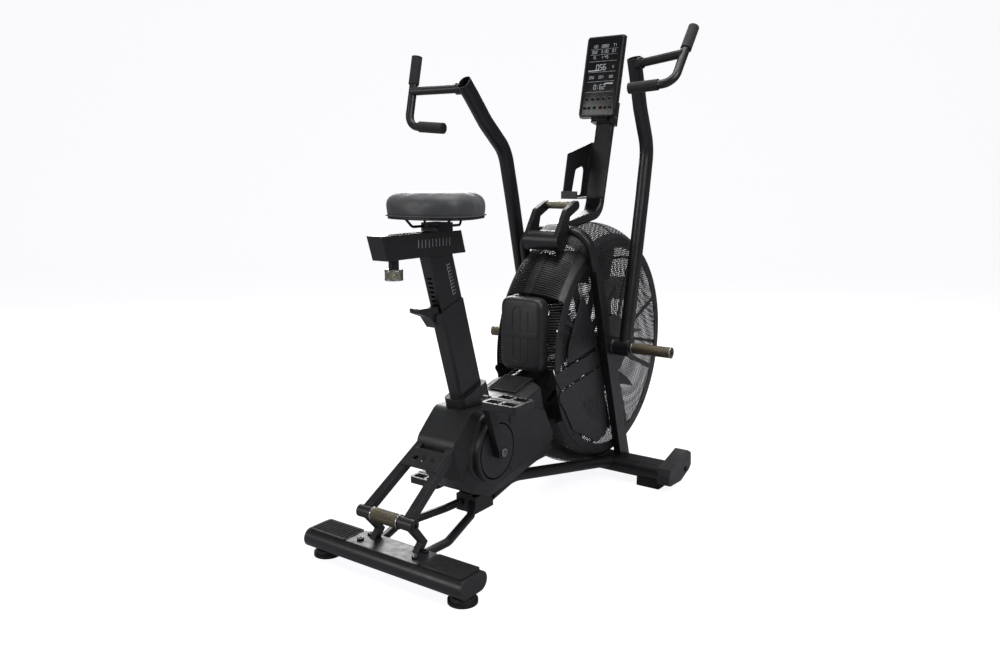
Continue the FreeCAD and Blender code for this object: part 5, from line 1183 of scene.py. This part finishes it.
@dataclass
class Console:
    """Display on the mast: gloss face, liquid crystal figures and film keys."""

    shop: Workshop
    width: float = 0.132
    height: float = 0.262
    lean: float = math.asin(57 / 262)

    def __post_init__(self) -> None:
        """Find the lower edge of the face from the keys, which stand on it."""
        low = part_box("console_keys")[0]
        self.up = Vector((math.sin(self.lean), 0, math.cos(self.lean)))
        self.out = Vector((-math.cos(self.lean), 0, math.sin(self.lean)))
        corner = low.z - 22.5 * MM * math.cos(self.lean)
        self.foot = Vector((low.x + 1.2 * MM * math.cos(self.lean) - 22.5 * MM * math.sin(self.lean), 0,
                            corner))

    def at(self, up: float, across: float, out: float) -> Vector:
        """Point on the face: up it, across it towards the right-hand side, and out of it, in metres."""
        return self.foot + self.up * up + Vector((0, -across, 0)) + self.out * out

    def rectangle(self, u: tuple[float, float], v: tuple[float, float], out: float) -> list[Vector]:
        """Four corners on the face."""
        return [self.at(u[0], v[0], out), self.at(u[0], v[1], out), self.at(u[1], v[1], out),
                self.at(u[1], v[0], out)]

    def build(self) -> None:
        """Make the face, the figures and the key rings."""
        self.shop.dress(CONSOLE_GLOSS, "console", "console_keys")
        half = self.width / 2
        rim = pipe(rounded(self.rectangle((3 * MM, self.height - 3 * MM), (-half + 3 * MM, half - 3 * MM),
                                          -0.6 * MM),
                           9 * MM, 8), 2.4 * MM, closed=True)
        self.shop.piece("console_rim", rim, MOULDED_ABS, "frame", "console_plastic")
        face = slab(rounded(self.rectangle((6 * MM, self.height - 6 * MM), (-half + 6 * MM, half - 6 * MM),
                                           -1.5 * MM),
                            7 * MM, 6), self.out * 1.7 * MM, 0.3 * MM)
        self.shop.piece("console_face", face, CONSOLE_GLOSS, "frame", "console_plastic")
        self.figures()
        self.keys()

    def figures(self) -> None:
        """Rows of figures and rules on the display."""
        rows = ((229, -34, 10, "120"), (229, 2, 10, "0860"), (229, 36, 10, "77"), (211, -34, 10, "052"),
                (211, 2, 10, "3:00"), (211, 36, 10, "87"), (193, -34, 10, "15"), (193, 4, 10, "1:45"),
                (160, -4, 19, "056"), (160, 38, 8, "12"), (128, -34, 9, "250"), (128, 0, 9, "064"),
                (128, 34, 9, "180"), (96, -2, 16, "0:62"))
        parts = []
        for u, v, tall, text in rows:
            for x, y, wide, high in Digit.bars(text, tall * MM):
                u0, v0 = u * MM + y, v * MM + x
                parts.append(slab(self.rectangle((u0 - high / 2, u0 + high / 2),
                                                 (v0 - wide / 2, v0 + wide / 2),
                                                 0.15 * MM), self.out * 0.3 * MM))
        for u, v0, v1, thick in ((219.5, -50, 50, 0.6), (201.5, -50, 50, 0.6), (180, -50, 50, 0.8),
                                 (145, -50, 50, 0.8),
                                 (114, -50, 50, 0.8), (80, -50, 50, 0.8), (150, -50, -10, 3.0),
                                 (106, 16, 46, 4.0)):
            parts.append(slab(self.rectangle(((u - thick / 2) * MM, (u + thick / 2) * MM),
                                             (v0 * MM, v1 * MM),
                                             0.15 * MM), self.out * 0.25 * MM))
        self.shop.piece("display_figures", joined(*parts), LCD_SEGMENT, "frame", "key_film")

    def keys(self) -> None:
        """Printed rings round the keys, green to start and red to stop."""
        rings: dict[str, list[bpy.types.Mesh]] = {"green": [], "red": [], "grey": []}
        for u, places, radius in ((56, (-42, -20, 0, 20, 42), 6.6), (28, (-46, -30, -10, 12, 30, 46), 6.0)):
            for v in places:
                colour = {(28, -10): "green", (28, 12): "red"}.get((u, v), "grey")
                line = [self.at(u * MM + radius * MM * math.sin(a),
                                v * MM + radius * 1.15 * MM * math.cos(a), 0.9 * MM)
                        for a in (2 * math.pi * k / 28 for k in range(28))]
                rings[colour].append(pipe(line, 0.5 * MM, 6, True))
        for colour, finish in (("green", KEY_GREEN), ("red", KEY_RED), ("grey", KEY_GREY)):
            self.shop.piece(f"key_rings_{colour}", joined(*rings[colour]), finish, "frame", "key_film")


@dataclass
class Controls:
    """Grips, pegs, cranks and pedals."""

    shop: Workshop

    def build(self) -> None:
        """Finish the moving parts and add rings and pedal pins."""
        self.shop.dress(GRIP_FOAM, "grips_right", "grips_left")
        self.shop.dress(CAST_ALLOY, "crank_arms", "drive_pulley")
        self.shop.dress(MOULDED_ABS, "pedal_left", "pedal_right")
        self.knurled("foot_pegs", "knurled_bronze_peg", "#6e6656", "#7d7462", 34, "Y")
        self.knurled("lift_grip_sleeve", "knurled_bronze_sleeve", "#6f6858", "#7f7765", 36, "Y")
        self.knurled("handle_grip", "knurled_handle_sleeve", "#8f897a", "#9d9788", 24, "Y")
        self.end_rings()
        self.pedal_pins()

    def knurled(self, node: str, name: str, colour: str, shade: str, diameter: float, axis: str) -> None:
        """Give a turned CAD node a knurled finish about its own middle line.

        Args:
            node: CAD node.
            name: Finish's name.
            colour: Main colour.
            shade: Colour that it drifts towards.
            diameter: Diameter in millimetres.
            axis: Axis that it was turned about.
        """
        low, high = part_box(node)
        self.shop.dress(Finish(name, colour, shade, (0.28, 0.42), relief=Relief.KNURL, scale_mm=2.2,
                               depth_mm=0.3,
                               metallic=1.0, worn="#c9c2b0", wear=0.5, centre=tuple((low + high) / 2),
                               axis=axis,
                               diameter_mm=diameter), node)

    def end_rings(self) -> None:
        """Bright rings at the ends of the pegs and the lifting sleeve."""
        parts = []
        for node, radius, where in (("foot_pegs", 17.0, (0.335, 0.205)),
                                    ("lift_grip_sleeve", 18.0, (0.0435,))):
            low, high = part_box(node)
            x, z = (low.x + high.x) / 2, (low.z + high.z) / 2
            for y in where:
                for side in SIDES:
                    parts.append(turned([((radius - 1.5) * MM, -1.4 * MM), ((radius + 0.5) * MM, -1.4 * MM),
                                         ((radius + 0.9) * MM, 0), ((radius + 0.5) * MM, 1.4 * MM),
                                         ((radius - 1.5) * MM, 1.4 * MM)], Vector((x, side * y, z)),
                                        Vector((0, side, 0)), 48))
        self.shop.piece("sleeve_rings", joined(*parts), BRIGHT_STEEL, "frame", "bare_steel")

    def pedal_pins(self) -> None:
        """Rows of studs on top of both pedals."""
        for side in ("left", "right"):
            low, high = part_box(f"pedal_{side}")
            middle = (low + high) / 2
            for rows, x in (("front", 0.36), ("rear", -0.36)):
                grid = self.shop.tree.repeat(screw_head(2.2 * MM, 1.8 * MM), (6, 1), (15 * MM, 1.0), 0.0,
                                             self.shop.material(BLACK_OXIDE))
                wide = high.x - low.x
                studs = moved(grid, lambda p, m=middle, t=high.z,
                              s=x * wide: Vector((m.x + s + p.y, m.y + p.x,
                                                                                     t + p.z)))
                self.shop.piece(f"pedal_studs_{side}_{rows}", studs, BLACK_OXIDE, f"pedal_{side}",
                                "zinc_bolt")


# ---------------------------------------------------------------- studio
@dataclass
class Studio:
    """Pale seamless floor, soft lights and the camera."""

    stand: tuple[float, float, float] = (-2.1401, -1.3846, 1.0040)
    yaw: float = 35.21
    pitch: float = 10.66
    lens: float = 30.73
    floor_glow: float = 0.95
    room_glow: float = 0.16

    def floor(self) -> None:
        """Wide pale floor that curves up far behind."""
        points, half = [], 14.0
        profile = [(-14.0, 0.0), (6.0, 0.0)] + [(6.0 + 3 * math.sin(a), 3 - 3 * math.cos(a))
                                                for a in (math.pi / 2 * k / 10 for k in range(1,
                                                                                              11))] + [(9.0,
                                                                                                        12.0)]
        turn = Matrix.Rotation(math.radians(self.yaw), 3, "Z")
        for d, z in profile:
            points += [turn @ Vector((d, s * half, z)) for s in SIDES]
        faces = [(2 * i, 2 * i + 2, 2 * i + 3, 2 * i + 1) for i in range(len(profile) - 1)]
        obj = bpy.data.objects.new("studio_floor", mesh_of(points, faces, False))
        material = bpy.data.materials.new("pale_paper_sweep")
        material.use_nodes = True
        tree = material.node_tree
        tree.nodes.clear()
        seen = add_node(tree, "ShaderNodeLightPath").outputs["Is Camera Ray"]
        glow = add_node(tree, "ShaderNodeMapRange", {"To Min": 0.10, "To Max": self.floor_glow},
                        {"Value": seen})
        shader = add_node(tree, "ShaderNodeBsdfPrincipled",
                          {"Base Color": linear("#8c8c90"), "Roughness": 0.9, "Specular IOR Level": 0.0,
                           "Emission Color": linear("#f9f9fb")}, {"Emission Strength": glow.outputs[0]})
        add_node(tree, "ShaderNodeOutputMaterial", None, {"Surface": shader.outputs[0]})
        obj.data.materials.append(material)
        obj.data.shade_smooth()
        bpy.context.scene.collection.objects.link(obj)

    def light(self, name: str, place: tuple[float, float, float], size: float, watts: float) -> None:
        """Square soft light aimed at the middle of the bike.

        Args:
            name: Light's name.
            place: Where it stands.
            size: Side of the square.
            watts: Its power.
        """
        data = bpy.data.lights.new(name, "AREA")
        data.energy, data.size = watts, size
        obj = bpy.data.objects.new(name, data)
        obj.location = place
        obj.rotation_mode = "QUATERNION"
        obj.rotation_quaternion = (Vector((0, 0, 0.6)) - Vector(place)).to_track_quat("-Z", "Y")
        bpy.context.scene.collection.objects.link(obj)

    def build(self) -> None:
        """Make the floor, the lights, the sky and the camera."""
        self.floor()
        self.light("key", (-1.2, -3.4, 3.2), 2.2, 90)
        self.light("top", (0.2, 0.2, 4.2), 3.0, 120)
        self.light("rim", (2.6, 2.4, 2.2), 1.6, 100)
        self.light("fill", (-3.6, 1.6, 1.8), 1.6, 40)
        world = bpy.data.worlds.new("pale_room")
        world.use_nodes = True
        tree = world.node_tree
        tree.nodes.clear()
        seen = add_node(tree, "ShaderNodeLightPath").outputs["Is Camera Ray"]
        glow = add_node(tree, "ShaderNodeMapRange", {"To Min": self.room_glow, "To Max": 1.0},
                        {"Value": seen})
        sky = add_node(tree, "ShaderNodeBackground", {"Color": linear("#f9f9fb")},
                       {"Strength": glow.outputs[0]})
        add_node(tree, "ShaderNodeOutputWorld", None, {"Surface": sky.outputs[0]})
        bpy.context.scene.world = world
        data = bpy.data.cameras.new("camera")
        data.lens, data.sensor_width = self.lens, 36.0
        obj = bpy.data.objects.new("camera", data)
        yaw, pitch = math.radians(self.yaw), math.radians(self.pitch)
        aim = Vector((math.cos(yaw) * math.cos(pitch), math.sin(yaw) * math.cos(pitch), -math.sin(pitch)))
        obj.location = self.stand
        obj.rotation_mode = "QUATERNION"
        obj.rotation_quaternion = aim.to_track_quat("-Z", "Y")
        bpy.context.scene.collection.objects.link(obj)
        bpy.context.scene.camera = obj
        bpy.context.scene.view_settings.view_transform = "Standard"


def main() -> None:
    """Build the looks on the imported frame."""
    logging.basicConfig(level=logging.INFO, format="%(message)s")
    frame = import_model()
    shop = Workshop(frame["nodes"])
    structure = Frame(shop)
    structure.dress()
    structure.treads()
    FanCage(shop).build()
    BodyCovers(shop).build()
    Saddle(shop).build()
    Console(shop).build()
    Controls(shop).build()
    Studio().build()


if __name__ == "__main__":
    main()
